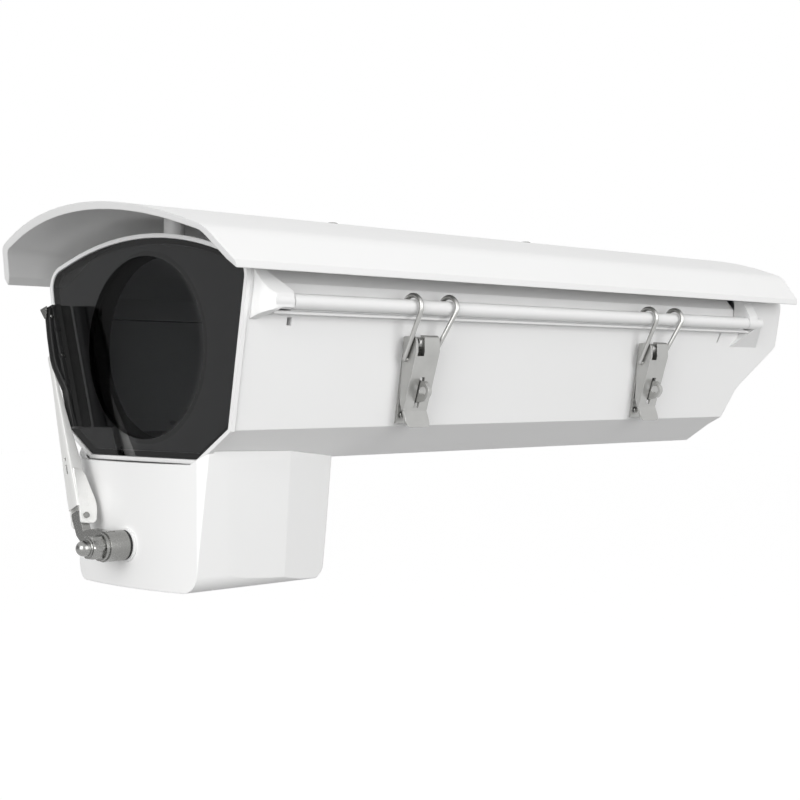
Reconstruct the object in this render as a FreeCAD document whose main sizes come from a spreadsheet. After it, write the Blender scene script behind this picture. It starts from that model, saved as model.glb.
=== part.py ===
import FreeCAD, Part
import Sketcher
import math
import os
import re
from FreeCAD import Vector

# Outdoor security camera housing: a die-cast base with a side-opening lid, a
# sunshield over it, a flat window with a wiper, and two over-centre latches.
# Millimetres. X is the width with the latches on +X, the window faces -Y, +Z is
# up, and the origin is the centre of the bracket holes on the underside.

doc = FreeCAD.newDocument("camera_housing")
sheet = doc.addObject("Spreadsheet::Sheet", "Sizes")
nodes = []

sizes = {
    # Casting section and length
    "floor_half": 40.2,
    "belly_half": 62.7,
    "belly_height": 14.6,
    "shoulder_half": 75,
    "shoulder_height": 88.5,
    "shoulder_radius": 10,
    "roof_peak": 112.55,
    "roof_flat": 17.83502,
    "wall": 3,
    "shell_front": -219,
    "shell_length": 437,
    "tail_height": 57.5,
    "tail_bend_y": 180,
    "tail_bend_height": 32,
    "tail_foot_y": 164.5,
    "tail_foot_height": 10,
    # Split line between base and lid
    "split_height": 66.9,
    "split_gap": 0.6,
    "lid_front": -197.5,
    "lid_rear": 169,
    "lid_nose": -207.5,
    "nose_low": 75.5,
    "nose_high": 84.5,
    "end_gap": 0.5,
    "lip_half": 76.5,
    "lip_depth": 1.5,
    "lip_root": 6,
    "lip_reach": 8,
    # Flares, gussets and drains
    "flare_front": -214.5,
    "flare_half": 81.6,
    "flare_low": 62.8,
    "flare_high": 84.6,
    "flare_round": 7.5,
    "bead_out": 82.5,
    "gusset_high": 91.8,
    "gusset_depth": 9.5,
    "stub_rear": 187,
    "fairing_low": 56.5,
    "drain_front_y": -191.5,
    "drain_rear_y": 152.4,
    "drain_half": 1.35,
    "drain_low": 60.8,
    "root_inset": 12,
    # Rim, window and mask
    "rim_proud": 0.8,
    "rim_depth": 2.5,
    "rim_band": 2,
    "glass_recess": 0.5,
    "glass_depth": 4,
    "glass_gap": 0.25,
    "gasket_depth": 1.5,
    "gasket_band": 2.4,
    "seat_band": 6.2,
    "seat_depth": 3,
    "mask_depth": 1.3,
    "mask_gap": 0.1,
    "sight_radius": 42.2,
    "sight_height": 51.6,
    "mask_margin": 0.3,
    "collar_depth": 9,
    "collar_wall": 1.6,
    # Lid section
    "bead_x": 78.5,
    "bead_z": 71,
    "bead_radius": 3.5,
    "flange_depth": 2,
    "gutter_half": 70.5,
    "gutter_top": 79.4,
    "lid_wall": 2.5,
    "lid_shoulder_half": 59.5,
    "lid_shoulder_height": 92.6,
    "lid_peak": 111.5,
    "lid_flat": 5.88846,
    "strip_x": 69.1,
    "strip_half": 0.8,
    "strip_gap": 0.08,
    "strip_seat": 0.02,
    "strip_end": 6,
    # Hinge
    "hinge_bore": 1.55,
    "hinge_pin": 1.5,
    "knuckle_length": 30,
    "knuckle_gap": 0.4,
    "hinge_front_y": -126,
    "hinge_rear_y": 94,
    "leaf_depth": 2.4,
    "leaf_low": 38,
    "pin_reach": 14,
    "hinge_screw_up": 10,
    "hinge_screw_inset": 7,
    "hinge_screw_radius": 3,
    "hinge_screw_sunk": 0.6,
    "hinge_screw_high": 2.2,
    # Sunshield
    "shade_front": -235,
    "shade_length": 450,
    "shade_half": 86.9,
    "shade_low": 83.4,
    "shade_lip": 3.2,
    "shade_wall": 3.3,
    "shade_rake": 0.55,
    "shade_shoulder_half": 76.3,
    "shade_shoulder_height": 101.1,
    "shade_shoulder_radius": 11.3,
    "shade_peak": 127.2,
    "shade_flat": 10.51605,
    "cove_inset": 4.4,
    "cove_rise": 3.6,
    "cove_lip": 0.5,
    "shade_screw_front": -98.4,
    "shade_screw_rear": 57,
    "shade_rest_y": -200,
    "spacer_radius": 5,
    "shade_screw_radius": 2,
    "shade_head_radius": 3.6,
    "shade_head_depth": 2.2,
    "shade_nut_flats": 7,
    "shade_nut_depth": 3.25,
    "shade_play": 0.2,
    # Latches
    "latch_front_y": -111,
    "latch_rear_y": 79,
    "lever_half": 8,
    "lever_wall": 1.2,
    "lever_pivot_x": 75,
    "lever_pivot_z": 54.2,
    "bail_pivot_x": 72.6,
    "bail_pivot_z": 46.4,
    "plate_half": 6.3,
    "plate_depth": 1.5,
    "plate_low": 16,
    "plate_high": 51,
    "ear_depth": 1.5,
    "latch_pin": 1.3,
    "pivot_gap": 0.06,
    "hasp_x": 77,
    "hasp_z": 31.5,
    "hasp_hole": 2.1,
    "hasp_radius": 4.6,
    "hasp_half": 1.2,
    "slot_half": 1.7,
    "bail_wire": 1.15,
    "bail_gap": 0.9,
    "leg_inset": 1.45,
    "leg_splay": 6.1,
    "spring_radius": 2.4,
    "spring_wire": 0.45,
    "spring_gap": 0.12,
    "spring_length": 8.2,
    "rivet_radius": 1.8,
    "rivet_across": 3.2,
    "rivet_up": 4,
    "rivet_sunk": 0.35,
    "rivet_high": 1.1,
    "bail_tail": 2.1,
    # Wiper drive and its cover
    "cover_low": -58,
    "cover_front": -233,
    "cover_corner_half": 44.5,
    "cover_corner_y": -222.5,
    "cover_chamfer": 4,
    "cover_crease_half": 44,
    "cover_crease_y": -169,
    "cover_rear_half": 41,
    "cover_rear_y": -137,
    "cover_draft": 5,
    "cover_back_draft": 3.5,
    "cover_round": 8,
    "cover_wall": 3,
    "shaft_z": -38.5,
    "shaft_radius": 4,
    "shaft_gap": 0.05,
    "bush_radius": 6.4,
    "hub_front": -241,
    "hub_rear": -230.5,
    "hub_radius": 7,
    "face_back": 5.1,
    "bush_proud": 0.6,
    "seal_depth": 1.4,
    "seal_band": 1.2,
    "head_depth": 4.4,
    "washer_radius": 6.4,
    "washer_depth": 1.8,
    "nut_depth": 6.2,
    "cap_radius": 3.6,
    "cap_depth": 5.7,
    # Wiper arm and blade
    "arm_foot_x": -22.2,
    "arm_foot_y": -240.9,
    "arm_foot_z": -27,
    "arm_tip_x": -56,
    "arm_tip_y": -231.9,
    "arm_tip_z": 48,
    "arm_half": 3.2,
    "arm_tip_half": 2.2,
    "arm_wall": 1,
    "arm_pin_depth": 3.7,
    "arm_pin_radius": 1.4,
    "tongue_half": 3,
    "tongue_drop": 7.5,
    "nut_flats": 10,
    "holder_half": 2,
    "blade_pin_depth": 10.6,
    "blade_pin_along": 35.2,
    "blade_pin_radius": 0.8,
    "blade_top_x": -57,
    "blade_top_z": 72.4,
    "blade_low_x": -39.3,
    "blade_low_z": 14.3,
    "blade_off": 0.9,
    "arm_spring_start": 17,
    "arm_spring_length": 20,
    "arm_spring_depth": 3.4,
    "arm_spring_radius": 1.7,
    # Inside
    "tray_half": 50,
    "tray_front": -165,
    "tray_rear": 112,
    "tray_height": 14,
    "tray_sheet": 2,
    "board_half": 40,
    "board_front": 64,
    "board_length": 40,
    "board_depth": 1.6,
    "heater_half": 30,
    "heater_y": -186,
    "fan_half": 20,
    "fan_depth": 11,
    "fan_y": 122,
    "fan_bore": 18,
    "fan_hub": 7,
    "fan_spoke": 1.2,
    "fan_web": 1.5,
    "gearbox_half": 16,
    "gearbox_depth": 20,
    "motor_radius": 13,
    "motor_length": 38,
    "standoff_radius": 4,
    "board_post": 2.5,
    "board_lift": 6,
    "fin_half": 0.8,
    "fin_height": 6,
    "heater_half_depth": 12,
    "heater_base": 3,
    # Bracket and cable entries
    "bracket_dx": 50,
    "bracket_dy": 70,
    "bracket_hole": 2.5,
    "bracket_hole_depth": 8,
    "bracket_margin": 9,
    "bracket_boss": 7,
    "gland_pitch": 26,
    "gland_bore": 4.5,
    "gland_thread": 7.6,
    "gland_flats": 19,
    "gland_flange": 6,
    "gland_reach": 14,
    "gland_cap_start": 7,
    "gland_cap_stop": 15.5,
    "gland_lip_stop": 18.5,
    "gland_locknut": 3.2,
    "gland_wall": 1.2,
}

for row, (alias, number) in enumerate(sizes.items(), 1):
    sheet.set(f"A{row}", alias.replace("_", " "))
    sheet.set(f"B{row}", str(number))
    sheet.setAlias(f"B{row}", alias)
doc.recompute()


# Formulas over the sheet: a text such as "wall + split_gap" is read by the sheet
# for its number now, and bound to the object so that it follows the sheet.
def value(text):
    return float(sheet.evalExpression(str(text)))


def bind(thing, name, text):
    formula = re.sub(r"[a-z][a-z0-9_]*(?!\w|\()", lambda word: "Sizes." + word.group(0), str(text))
    thing.setExpression(name, formula)


def place(thing, x, y, z, rotation=None):
    spot = Vector(value(x), value(y), value(z))
    thing.Placement = FreeCAD.Placement(spot, rotation or FreeCAD.Rotation())
    bind(thing, "Placement.Base.x", x)
    bind(thing, "Placement.Base.y", y)
    bind(thing, "Placement.Base.z", z)
    return thing


TOUCH = 0.001

# Outlines: a corner is (across, up) or (across, up, radius); a disc is a circle.
def rectangle(left, low, right, high, radius="0"):
    return [(left, low, radius), (right, low, radius), (right, high, radius), (left, high, radius)]


def disc(across, up, radius):
    return ("disc", across, up, radius)


def hexagon(across, up, flats):
    corners = []
    for step in range(6):
        turn = 60 * step + 30
        corners.append((f"{across} + ({flats}) / sqrt(3) * cos({turn})",
                        f"{up} + ({flats}) / sqrt(3) * sin({turn})"))
    return corners


def mirrored(half):
    other = [(f"-({corner[0]})",) + tuple(corner[1:]) for corner in reversed(half)]
    return half + [corner for corner in other if abs(value(corner[0])) > TOUCH]


# Each drawing is pinned by its corners and radii, all bound to the sheet.
class Drawing:
    def __init__(self):
        self.shapes = []
        self.rules = []

    def add_shape(self, shape):
        self.shapes.append(shape)
        return len(self.shapes) - 1

    def add_rule(self, kind, *details, text=None):
        self.rules.append((Sketcher.Constraint(kind, *details), text))

    def pin(self, item, end, point, across, up):
        self.add_rule("DistanceX", -1, 1, item, end, point.x, text=across)
        self.add_rule("DistanceY", -1, 1, item, end, point.y, text=up)

    def disc(self, across, up, radius):
        centre = Vector(value(across), value(up), 0)
        circle = self.add_shape(Part.Circle(centre, Vector(0, 0, 1), value(radius)))
        self.pin(circle, 3, centre, across, up)
        self.add_rule("Radius", circle, value(radius), text=radius)

    def outline(self, corners):
        points = [Vector(value(corner[0]), value(corner[1]), 0) for corner in corners]
        radii = [value(corner[2]) if len(corner) > 2 else 0 for corner in corners]
        count = len(corners)
        bends = []
        for index, point in enumerate(points):
            ahead = points[(index + 1) % count] - point
            bends.append(round_corner(points[index - 1] - point, point, ahead, radii[index]))
        lines = []
        for index in range(count):
            line = Part.LineSegment(bends[index]["leave"], bends[(index + 1) % count]["arrive"])
            lines.append(self.add_shape(line))
        for index, corner in enumerate(corners):
            before = lines[index - 1]
            after = lines[index]
            if radii[index]:
                arc = self.add_shape(bends[index]["arc"])
                first = 1 if bends[index]["left"] else 2
                self.add_rule("Tangent", before, 2, arc, first)
                self.add_rule("Tangent", arc, 3 - first, after, 1)
                self.add_rule("Radius", arc, radii[index], text=corner[2])
                mark = self.add_shape(Part.Point(points[index]))
                self.add_rule("PointOnObject", mark, 1, before)
                self.add_rule("PointOnObject", mark, 1, after)
                self.pin(mark, 1, points[index], corner[0], corner[1])
            else:
                self.add_rule("Coincident", before, 2, after, 1)
                self.pin(after, 1, points[index], corner[0], corner[1])

    def put_into(self, sketch):
        sketch.addGeometry(self.shapes, False)
        for index, shape in enumerate(self.shapes):
            if isinstance(shape, Part.Point):
                sketch.setConstruction(index, True)
        sketch.addConstraint([rule for rule, text in self.rules])
        for index, (rule, text) in enumerate(self.rules):
            if text is not None:
                bind(sketch, f"Constraints[{index}]", text)


def round_corner(back, point, ahead, radius):
    if not radius:
        return {"arrive": point, "leave": point}
    half = back.getAngle(ahead) / 2
    back = Vector(back).normalize()
    ahead = Vector(ahead).normalize()
    centre = point + (back + ahead).normalize() * (radius / math.sin(half))
    arrive = point + back * (radius / math.tan(half))
    leave = point + ahead * (radius / math.tan(half))
    left = ahead.cross(back).z > 0
    begin = (arrive if left else leave) - centre
    end = (leave if left else arrive) - centre
    start_angle = math.atan2(begin.y, begin.x)
    end_angle = math.atan2(end.y, end.x)
    if end_angle < start_angle:
        end_angle = end_angle + 2 * math.pi
    arc = Part.ArcOfCircle(Part.Circle(centre, Vector(0, 0, 1), radius), start_angle, end_angle)
    return {"arrive": arrive, "leave": leave, "arc": arc, "left": left}


def draw(sketch, outlines):
    drawing = Drawing()
    for shape in outlines:
        if shape[0] == "disc":
            drawing.disc(*shape[1:])
        else:
            drawing.outline(shape)
    drawing.put_into(sketch)


# Bodies: pads and pockets run along a row axis, from start to stop.
PLANES = {"top": ("XY_Plane", 1), "front": ("XZ_Plane", -1), "side": ("YZ_Plane", 1)}


def new_body(label, kept=True):
    body = doc.addObject("PartDesign::Body", label)
    body.Label = label
    body.AllowCompound = True
    if kept:
        nodes.append(body)
    return body


def body_sketch(body, plane, at, outlines):
    role, sign = PLANES[plane]
    sketch = body.newObject("Sketcher::SketchObject", "Sketch")
    support = [item for item in body.Origin.OriginFeatures if item.Role == role][0]
    sketch.AttachmentSupport = [(support, "")]
    sketch.MapMode = "FlatFace"
    bind(sketch, "AttachmentOffset.Base.z", f"{sign} * ({at})")
    draw(sketch, outlines)
    return sketch


def pad(body, plane, start, stop, *outlines):
    feature = body.newObject("PartDesign::Pad", "Pad")
    feature.Profile = body_sketch(body, plane, start, outlines)
    bind(feature, "Length", f"({stop}) - ({start})")
    feature.Reversed = PLANES[plane][1] < 0
    return feature


def pocket(body, plane, start, stop, *outlines):
    feature = body.newObject("PartDesign::Pocket", "Pocket")
    feature.Profile = body_sketch(body, plane, start, outlines)
    bind(feature, "Length", f"({stop}) - ({start})")
    feature.Reversed = PLANES[plane][1] > 0
    return feature


# Prisms of the shared sections, grown or shrunk by an offset.
def free_sketch(name, rotation, corners):
    sketch = doc.addObject("Sketcher::SketchObject", name)
    draw(sketch, [corners])
    sketch.Placement = FreeCAD.Placement(Vector(), rotation)
    return sketch


def prism(sketch, direction, start, stop, grow=None):
    base = sketch
    if grow is not None:
        base = doc.addObject("Part::Offset2D", "Offset")
        base.Source = sketch
        bind(base, "Value", grow)
        base.Join = 2
    solid = doc.addObject("Part::Extrusion", "Prism")
    solid.Base = base
    solid.DirMode = "Custom"
    solid.Dir = direction
    solid.Solid = True
    bind(solid, "LengthFwd", stop)
    bind(solid, "LengthRev", f"-({start})")
    return solid


def block(x0, y0, z0, x1, y1, z1):
    box = doc.addObject("Part::Box", "Block")
    bind(box, "Length", f"({x1}) - ({x0})")
    bind(box, "Width", f"({y1}) - ({y0})")
    bind(box, "Height", f"({z1}) - ({z0})")
    return place(box, x0, y0, z0)


def cut(base, tool):
    result = doc.addObject("Part::Cut", "Cut")
    result.Base = base
    result.Tool = tool
    return result


def fuse(*shapes):
    result = doc.addObject("Part::MultiFuse", "Fuse")
    result.Shapes = list(shapes)
    return result


def common(*shapes):
    result = doc.addObject("Part::MultiCommon", "Common")
    result.Shapes = list(shapes)
    return result


def keep(thing, label):
    thing.Label = label
    nodes.append(thing)
    return thing


# Bent wire: round rod along corners (x, y, z, bend radius).
def bent_wire(corners, radius):
    points = [Vector(*[value(number) for number in corner[:3]]) for corner in corners]
    edges = []
    last = points[0]
    for index in range(1, len(points) - 1):
        bend = value(corners[index][3])
        back = (points[index - 1] - points[index]).normalize()
        ahead = (points[index + 1] - points[index]).normalize()
        half = back.getAngle(ahead) / 2
        centre = points[index] + (back + ahead).normalize() * (bend / math.sin(half))
        begin = points[index] + back * (bend / math.tan(half))
        end = points[index] + ahead * (bend / math.tan(half))
        middle = centre + (points[index] - centre).normalize() * bend
        if (begin - last).Length > TOUCH:
            edges.append(Part.LineSegment(last, begin).toShape())
        edges.append(Part.Arc(begin, middle, end).toShape())
        last = end
    edges.append(Part.LineSegment(last, points[-1]).toShape())
    circle = Part.Circle(points[0], points[1] - points[0], value(radius)).toShape()
    return Part.Wire(edges).makePipeShell([Part.Wire(circle)], True, False)


def solid_feature(label, shapes):
    feature = doc.addObject("Part::Feature", label)
    feature.Shape = shapes[0] if len(shapes) == 1 else Part.makeCompound(shapes)
    feature.Placement = FreeCAD.Placement()
    return keep(feature, label)


# The wall's outer face and the casting's section.
def wall_x(height):
    run = "(shoulder_half - belly_half) / (shoulder_height - belly_height)"
    return f"(belly_half + (({height}) - belly_height) * {run})"


FLAT = FreeCAD.Rotation()
ACROSS = FreeCAD.Rotation(Vector(1, 0, 0), 90)
ALONG = FreeCAD.Rotation(Vector(1, 1, 1), 120)
SHELL_REAR = "(shell_front + shell_length)"


# A rounded roof: its crown's radius leaves a flat length of each slope, and
# its height is measured from the corner that the two slopes would make.
def roof_curve(peak, half, height, flat):
    slope = f"sqrt(({half})^2 + ({peak} - {height})^2)"
    return f"(({slope} - {flat}) * {half} / ({peak} - {height}))"


def crown(peak, half, height, radius):
    return f"({peak} - ({radius}) * (sqrt(1 + (({peak} - {height}) / {half})^2) - 1))"


ROOF_RADIUS = roof_curve("roof_peak", "shoulder_half", "shoulder_height", "roof_flat")
LID_RADIUS = roof_curve("lid_peak", "lid_shoulder_half", "lid_shoulder_height", "lid_flat")
SHADE_RADIUS = roof_curve("shade_peak", "shade_shoulder_half", "shade_shoulder_height", "shade_flat")

section = free_sketch("Section", ACROSS, mirrored([
    ("0", "roof_peak", ROOF_RADIUS),
    ("-shoulder_half", "shoulder_height", "shoulder_radius"),
    ("-belly_half", "belly_height"),
    ("-floor_half", "0"),
]))

side_view = free_sketch("SideView", ALONG, [
    ("shell_front - 20", "0"), ("tail_foot_y", "0"), ("tail_foot_y", "tail_foot_height"),
    ("tail_bend_y", "tail_bend_height", "20"), (SHELL_REAR, "tail_height", "5"),
    (SHELL_REAR, "roof_peak + 20"), ("shell_front - 20", "roof_peak + 20"),
])

# Base casting: trough, front arch with the window seat, rear arch and sloped
# tail are one casting. The lid's opening leaves an arch at each end.
outside = common(prism(section, Vector(0, 1, 0), "shell_front", f"{SHELL_REAR} + 5"),
                 prism(side_view, Vector(1, 0, 0), "-120", "120"))
inside = common(prism(section, Vector(0, 1, 0),
                      "shell_front + glass_recess + glass_depth + gasket_depth + seat_depth",
                      SHELL_REAR, "-wall"),
                prism(side_view, Vector(1, 0, 0), "-120", "120", "-wall"))
rim = prism(section, Vector(0, 1, 0), "shell_front", "shell_front + rim_depth", "rim_proud")
seat = prism(section, Vector(0, 1, 0), "shell_front - 1",
             "shell_front + glass_recess + glass_depth + gasket_depth", "rim_proud - rim_band")
sight_way = prism(section, Vector(0, 1, 0), "shell_front - 1", "shell_front + 30",
                  "rim_proud - rim_band - seat_band")
lid_way = prism(free_sketch("LidWay", ALONG, [
    ("lid_front - end_gap", "split_height"), ("lid_rear + end_gap", "split_height"),
    ("lid_rear + end_gap", "roof_peak + 10"), ("lid_nose - end_gap", "roof_peak + 10"),
    ("lid_nose - end_gap", "nose_high"), ("lid_front - end_gap", "nose_low"),
]), Vector(1, 0, 0), "-120", "120")

additions = []
for side in ("1", "-1"):
    lip_middle = f"{side} * (lip_half + shoulder_half - lip_root) / 2"
    additions.append(block(f"{lip_middle} - (lip_half - shoulder_half + lip_root) / 2",
                           "lid_front - lip_reach", "split_height - lip_depth",
                           f"{lip_middle} + (lip_half - shoulder_half + lip_root) / 2",
                           "lid_rear + lip_reach", "split_height"))


# A swelling on the wall is what three outlines share: seen along, from above and from the side.
def swelling(along, above, beside):
    return common(
        common(prism(free_sketch("SwellingAlong", ACROSS, along), Vector(0, 1, 0),
                     "shell_front", SHELL_REAR),
               prism(free_sketch("SwellingAbove", FLAT, above), Vector(0, 0, 1), "wall", "roof_peak")),
        prism(free_sketch("SwellingBeside", ALONG, beside), Vector(1, 0, 0), "-120", "120"))


# Flare behind the rim and gusset behind the lid. Each holds a short end that
# carries on the lid's bead, and a fairing runs from the rear end to the wall.
def bead_end(side, start, stop):
    rod = doc.addObject("Part::Cylinder", "BeadEnd")
    bind(rod, "Radius", "bead_radius")
    bind(rod, "Height", f"({stop}) - ({start})")
    return place(rod, f"{side} * bead_x", start, "bead_z", FreeCAD.Rotation(Vector(1, 0, 0), -90))


for side in ("1", "-1"):
    root = f"{side} * (shoulder_half - root_inset)"
    outer = f"{side} * flare_half"
    front_stop = "lid_front - end_gap / 2"
    additions.append(swelling(
        [(root, "flare_low"), (f"{side} * ({wall_x('flare_low')} - 0.5)", "flare_low"),
         (outer, "bead_z - 4", "2"), (outer, "bead_z + 3", "2"),
         (f"{side} * (shoulder_half - 1)", "flare_high"), (root, "flare_high")],
        [(root, "flare_front"), (outer, "flare_front", "flare_round"),
         (outer, front_stop), (root, front_stop)],
        [("flare_front", "flare_high + 2"), ("flare_front", "flare_low - 1"),
         ("flare_front + 2.5", "flare_low - 1"), ("flare_front + 9", "bead_z - 3", "3"),
         (front_stop, "bead_z - 3"), (front_stop, "flare_high + 2")]))
    additions.append(bead_end(side, "flare_front + 6", front_stop))
    rear_start = "lid_rear + end_gap / 2"
    additions.append(swelling(
        [(root, "bead_z - 3"), (outer, "bead_z - 3", "2"), (outer, "bead_z + 4", "1"),
         (f"{side} * (shoulder_half - 2.5)", "gusset_high"), (root, "gusset_high")],
        [(root, rear_start), (outer, rear_start),
         (outer, "lid_rear + gusset_depth"), (root, "lid_rear + gusset_depth")],
        [(rear_start, "gusset_high + 2"), (rear_start, "wall"),
         ("lid_rear + gusset_depth", "wall"), ("lid_rear + gusset_depth", "gusset_high + 2")]))
    additions.append(bead_end(side, rear_start, "stub_rear - bead_radius"))
    tip = doc.addObject("Part::Sphere", "BeadTip")
    bind(tip, "Radius", "bead_radius")
    additions.append(place(tip, f"{side} * bead_x", "stub_rear - bead_radius", "bead_z"))
    additions.append(swelling(
        [(root, "fairing_low"), (f"{side} * ({wall_x('fairing_low')} - 0.3)", "fairing_low"),
         (f"{side} * (bead_x + 2.6)", "bead_z - 2.2"), (f"{side} * bead_x", "bead_z + 2"),
         (root, "bead_z + 2")],
        [(root, "lid_rear - 5"), (f"{side} * bead_out", "lid_rear - 5"),
         (f"{side} * bead_out", "stub_rear - 5", "4"), (root, "stub_rear + 16")],
        [("lid_rear - 5", "fairing_low - 1"), ("stub_rear - 9", "bead_z - 3.4", "6"),
         ("stub_rear + 16", "bead_z + 4"), ("stub_rear + 16", "fairing_low - 1")]))

# Two drain slots through the wall on the latch side, below the bead.
drains = [
    block("belly_half", "drain_front_y - drain_half", "drain_low",
          "flare_half", "drain_front_y + drain_half", "drain_low + 2.6 * drain_half"),
    prism(free_sketch("RearDrain", ALONG, [
        ("drain_rear_y - drain_half", "drain_low - 1.5"), ("drain_rear_y", "drain_low - 1.5"),
        ("drain_rear_y + 1.8 * drain_half", "drain_low + 4"),
        ("drain_rear_y + 0.8 * drain_half", "drain_low + 4")]),
        Vector(1, 0, 0), "belly_half", "flare_half"),
]

bracket_pad = block("-bracket_dx / 2 - bracket_margin", "-bracket_dy / 2 - bracket_margin", "wall / 2",
                    "bracket_dx / 2 + bracket_margin", "bracket_dy / 2 + bracket_margin",
                    "wall + bracket_boss")
bracket_holes = []
for across in ("-bracket_dx / 2", "bracket_dx / 2"):
    for along in ("-bracket_dy / 2", "bracket_dy / 2"):
        hole = doc.addObject("Part::Cylinder", "BracketHole")
        bind(hole, "Radius", "bracket_hole")
        bind(hole, "Height", "bracket_hole_depth + 1")
        bracket_holes.append(place(hole, across, along, "-1"))

# Frame of the sloped tail: Z points out of it, where the cable glands sit.
tail_fall = value("tail_height - tail_bend_height")
tail_run = value(f"{SHELL_REAR} - tail_bend_y")
tail_turn = FreeCAD.Rotation(Vector(1, 0, 0), 180 + math.degrees(math.atan2(tail_fall, tail_run)))
gland_spot = ("0", f"(tail_bend_y + {SHELL_REAR}) / 2", "(tail_bend_height + tail_height) / 2")
gland_way = new_body("GlandWay", False)
pad(gland_way, "top", "-wall - 3", "1", disc("-gland_pitch / 2", "0", "gland_thread + 0.05"),
    disc("gland_pitch / 2", "0", "gland_thread + 0.05"))
place(gland_way, *gland_spot, tail_turn)

notches = [block("-lip_half - 8", f"{station} - 0.5", "split_height - lip_depth - 1",
                 f"-1 * {wall_x('split_height')}", f"{station} + knuckle_length + 0.5", "split_height + 1")
           for station in ("hinge_front_y", "hinge_rear_y")]
pad_way = block("-bracket_dx / 2 - bracket_margin", "-bracket_dy / 2 - bracket_margin", "0",
                "bracket_dx / 2 + bracket_margin", "bracket_dy / 2 + bracket_margin",
                "wall + bracket_boss")
casting = fuse(outside, rim, bracket_pad, *additions)
for tool in (seat, sight_way, cut(inside, pad_way), lid_way, fuse(*notches), fuse(*drains),
             fuse(*bracket_holes), gland_way):
    casting = cut(casting, tool)
keep(casting, "base_casting")

# Window: laminated glass on a gasket in the rim's seat, and the black mask
# plate with its sight hole and collar just behind it.
GLASS_FRONT = "shell_front + glass_recess"
GLASS_BACK = "shell_front + glass_recess + glass_depth"
SEAT_FACE = "shell_front + glass_recess + glass_depth + gasket_depth"
SIDEWAYS = Vector(0, 1, 0)

keep(prism(section, SIDEWAYS, GLASS_FRONT, GLASS_BACK, "rim_proud - rim_band - glass_gap"), "window_glass")
keep(cut(prism(section, SIDEWAYS, GLASS_BACK, SEAT_FACE, "rim_proud - rim_band - glass_gap"),
         prism(section, SIDEWAYS, "shell_front", "shell_front + 12",
               "rim_proud - rim_band - glass_gap - gasket_band")), "window_gasket")


def tube(x, z, outer, inner, start, stop):
    body = []
    for radius in (outer, inner):
        rod = doc.addObject("Part::Cylinder", "Rod")
        bind(rod, "Radius", radius)
        bind(rod, "Height", f"({stop}) - ({start})")
        body.append(place(rod, x, start, z, FreeCAD.Rotation(Vector(1, 0, 0), -90)))
    return cut(body[0], body[1])


MASK_FRONT = f"{GLASS_BACK} + mask_gap"
plate = prism(section, SIDEWAYS, MASK_FRONT, f"{MASK_FRONT} + mask_depth",
              "rim_proud - rim_band - glass_gap - gasket_band - mask_margin")
sight = doc.addObject("Part::Cylinder", "SightHole")
bind(sight, "Radius", "sight_radius")
bind(sight, "Height", "20")
place(sight, "0", "shell_front", "sight_height", FreeCAD.Rotation(Vector(1, 0, 0), -90))
keep(fuse(cut(plate, sight), tube("0", "sight_height", "sight_radius + collar_wall", "sight_radius",
                                  MASK_FRONT, f"{MASK_FRONT} + collar_depth")), "window_mask")

# Lid: one thin casting with a rounded bead along both edges. The bead on -X is
# bored for the hinge pins and notched where the brackets' knuckles sit.
lid = new_body("lid")
SKIRT = "split_height + split_gap"
pad(lid, "front", "lid_nose", "lid_rear", [
    ("bead_x", SKIRT), ("bead_x", f"{SKIRT} + flange_depth"),
    ("gutter_half", f"{SKIRT} + flange_depth"), ("gutter_half", "gutter_top"),
    ("lid_shoulder_half", "lid_shoulder_height", "8"), ("0", "lid_peak", LID_RADIUS),
    ("-lid_shoulder_half", "lid_shoulder_height", "8"), ("-gutter_half", "gutter_top"),
    ("-gutter_half", f"{SKIRT} + flange_depth"), ("-bead_x", f"{SKIRT} + flange_depth"),
    ("-bead_x", SKIRT)])
pocket(lid, "front", "lid_nose - 1", "lid_rear + 1", [
    ("gutter_half - lid_wall", "split_height - 1"),
    ("gutter_half - lid_wall", "gutter_top - lid_wall / 2"),
    ("lid_shoulder_half - lid_wall * 0.7", "lid_shoulder_height - lid_wall * 1.1", "6"),
    ("0", "lid_peak - lid_wall * 1.05", f"{LID_RADIUS} - lid_wall"),
    ("lid_wall * 0.7 - lid_shoulder_half", "lid_shoulder_height - lid_wall * 1.1", "6"),
    ("lid_wall - gutter_half", "gutter_top - lid_wall / 2"),
    ("lid_wall - gutter_half", "split_height - 1")])
pad(lid, "front", "lid_nose", "lid_rear", disc("bead_x", "bead_z", "bead_radius"))
pad(lid, "front", "lid_nose", "lid_rear", disc("-bead_x", "bead_z", "bead_radius"))
pocket(lid, "side", "-100", "100", [
    ("lid_nose - 5", "split_height - 5"), ("lid_front", "split_height - 5"),
    ("lid_front", "nose_low"), ("lid_nose", "nose_high"), ("lid_nose - 5", "nose_high")])
pocket(lid, "front", "lid_nose - 1", "lid_rear + 1", disc("-bead_x", "bead_z", "hinge_bore"))
for station in ("hinge_front_y", "hinge_rear_y"):
    pocket(lid, "front", f"{station} - knuckle_gap", f"{station} + knuckle_length + knuckle_gap",
           rectangle("-bead_x - bead_radius - 1", "split_height - 3", "-gutter_half - 2.6",
                     "bead_z + bead_radius + 1"))
for station in ("shade_screw_front", "shade_screw_rear"):
    pocket(lid, "top", "lid_peak - 25", "lid_peak", disc("0", station, "shade_screw_radius + shade_play"))

# Lid seal: two rubber strips on the tops of the casting's walls.
seal = new_body("lid_seal")
for side in ("1", "-1"):
    pad(seal, "front", "lid_front + strip_end", "lid_rear - strip_end",
        rectangle(f"{side} * strip_x - strip_half", "split_height + strip_seat",
                  f"{side} * strip_x + strip_half", f"{SKIRT} - strip_gap"))

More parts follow.
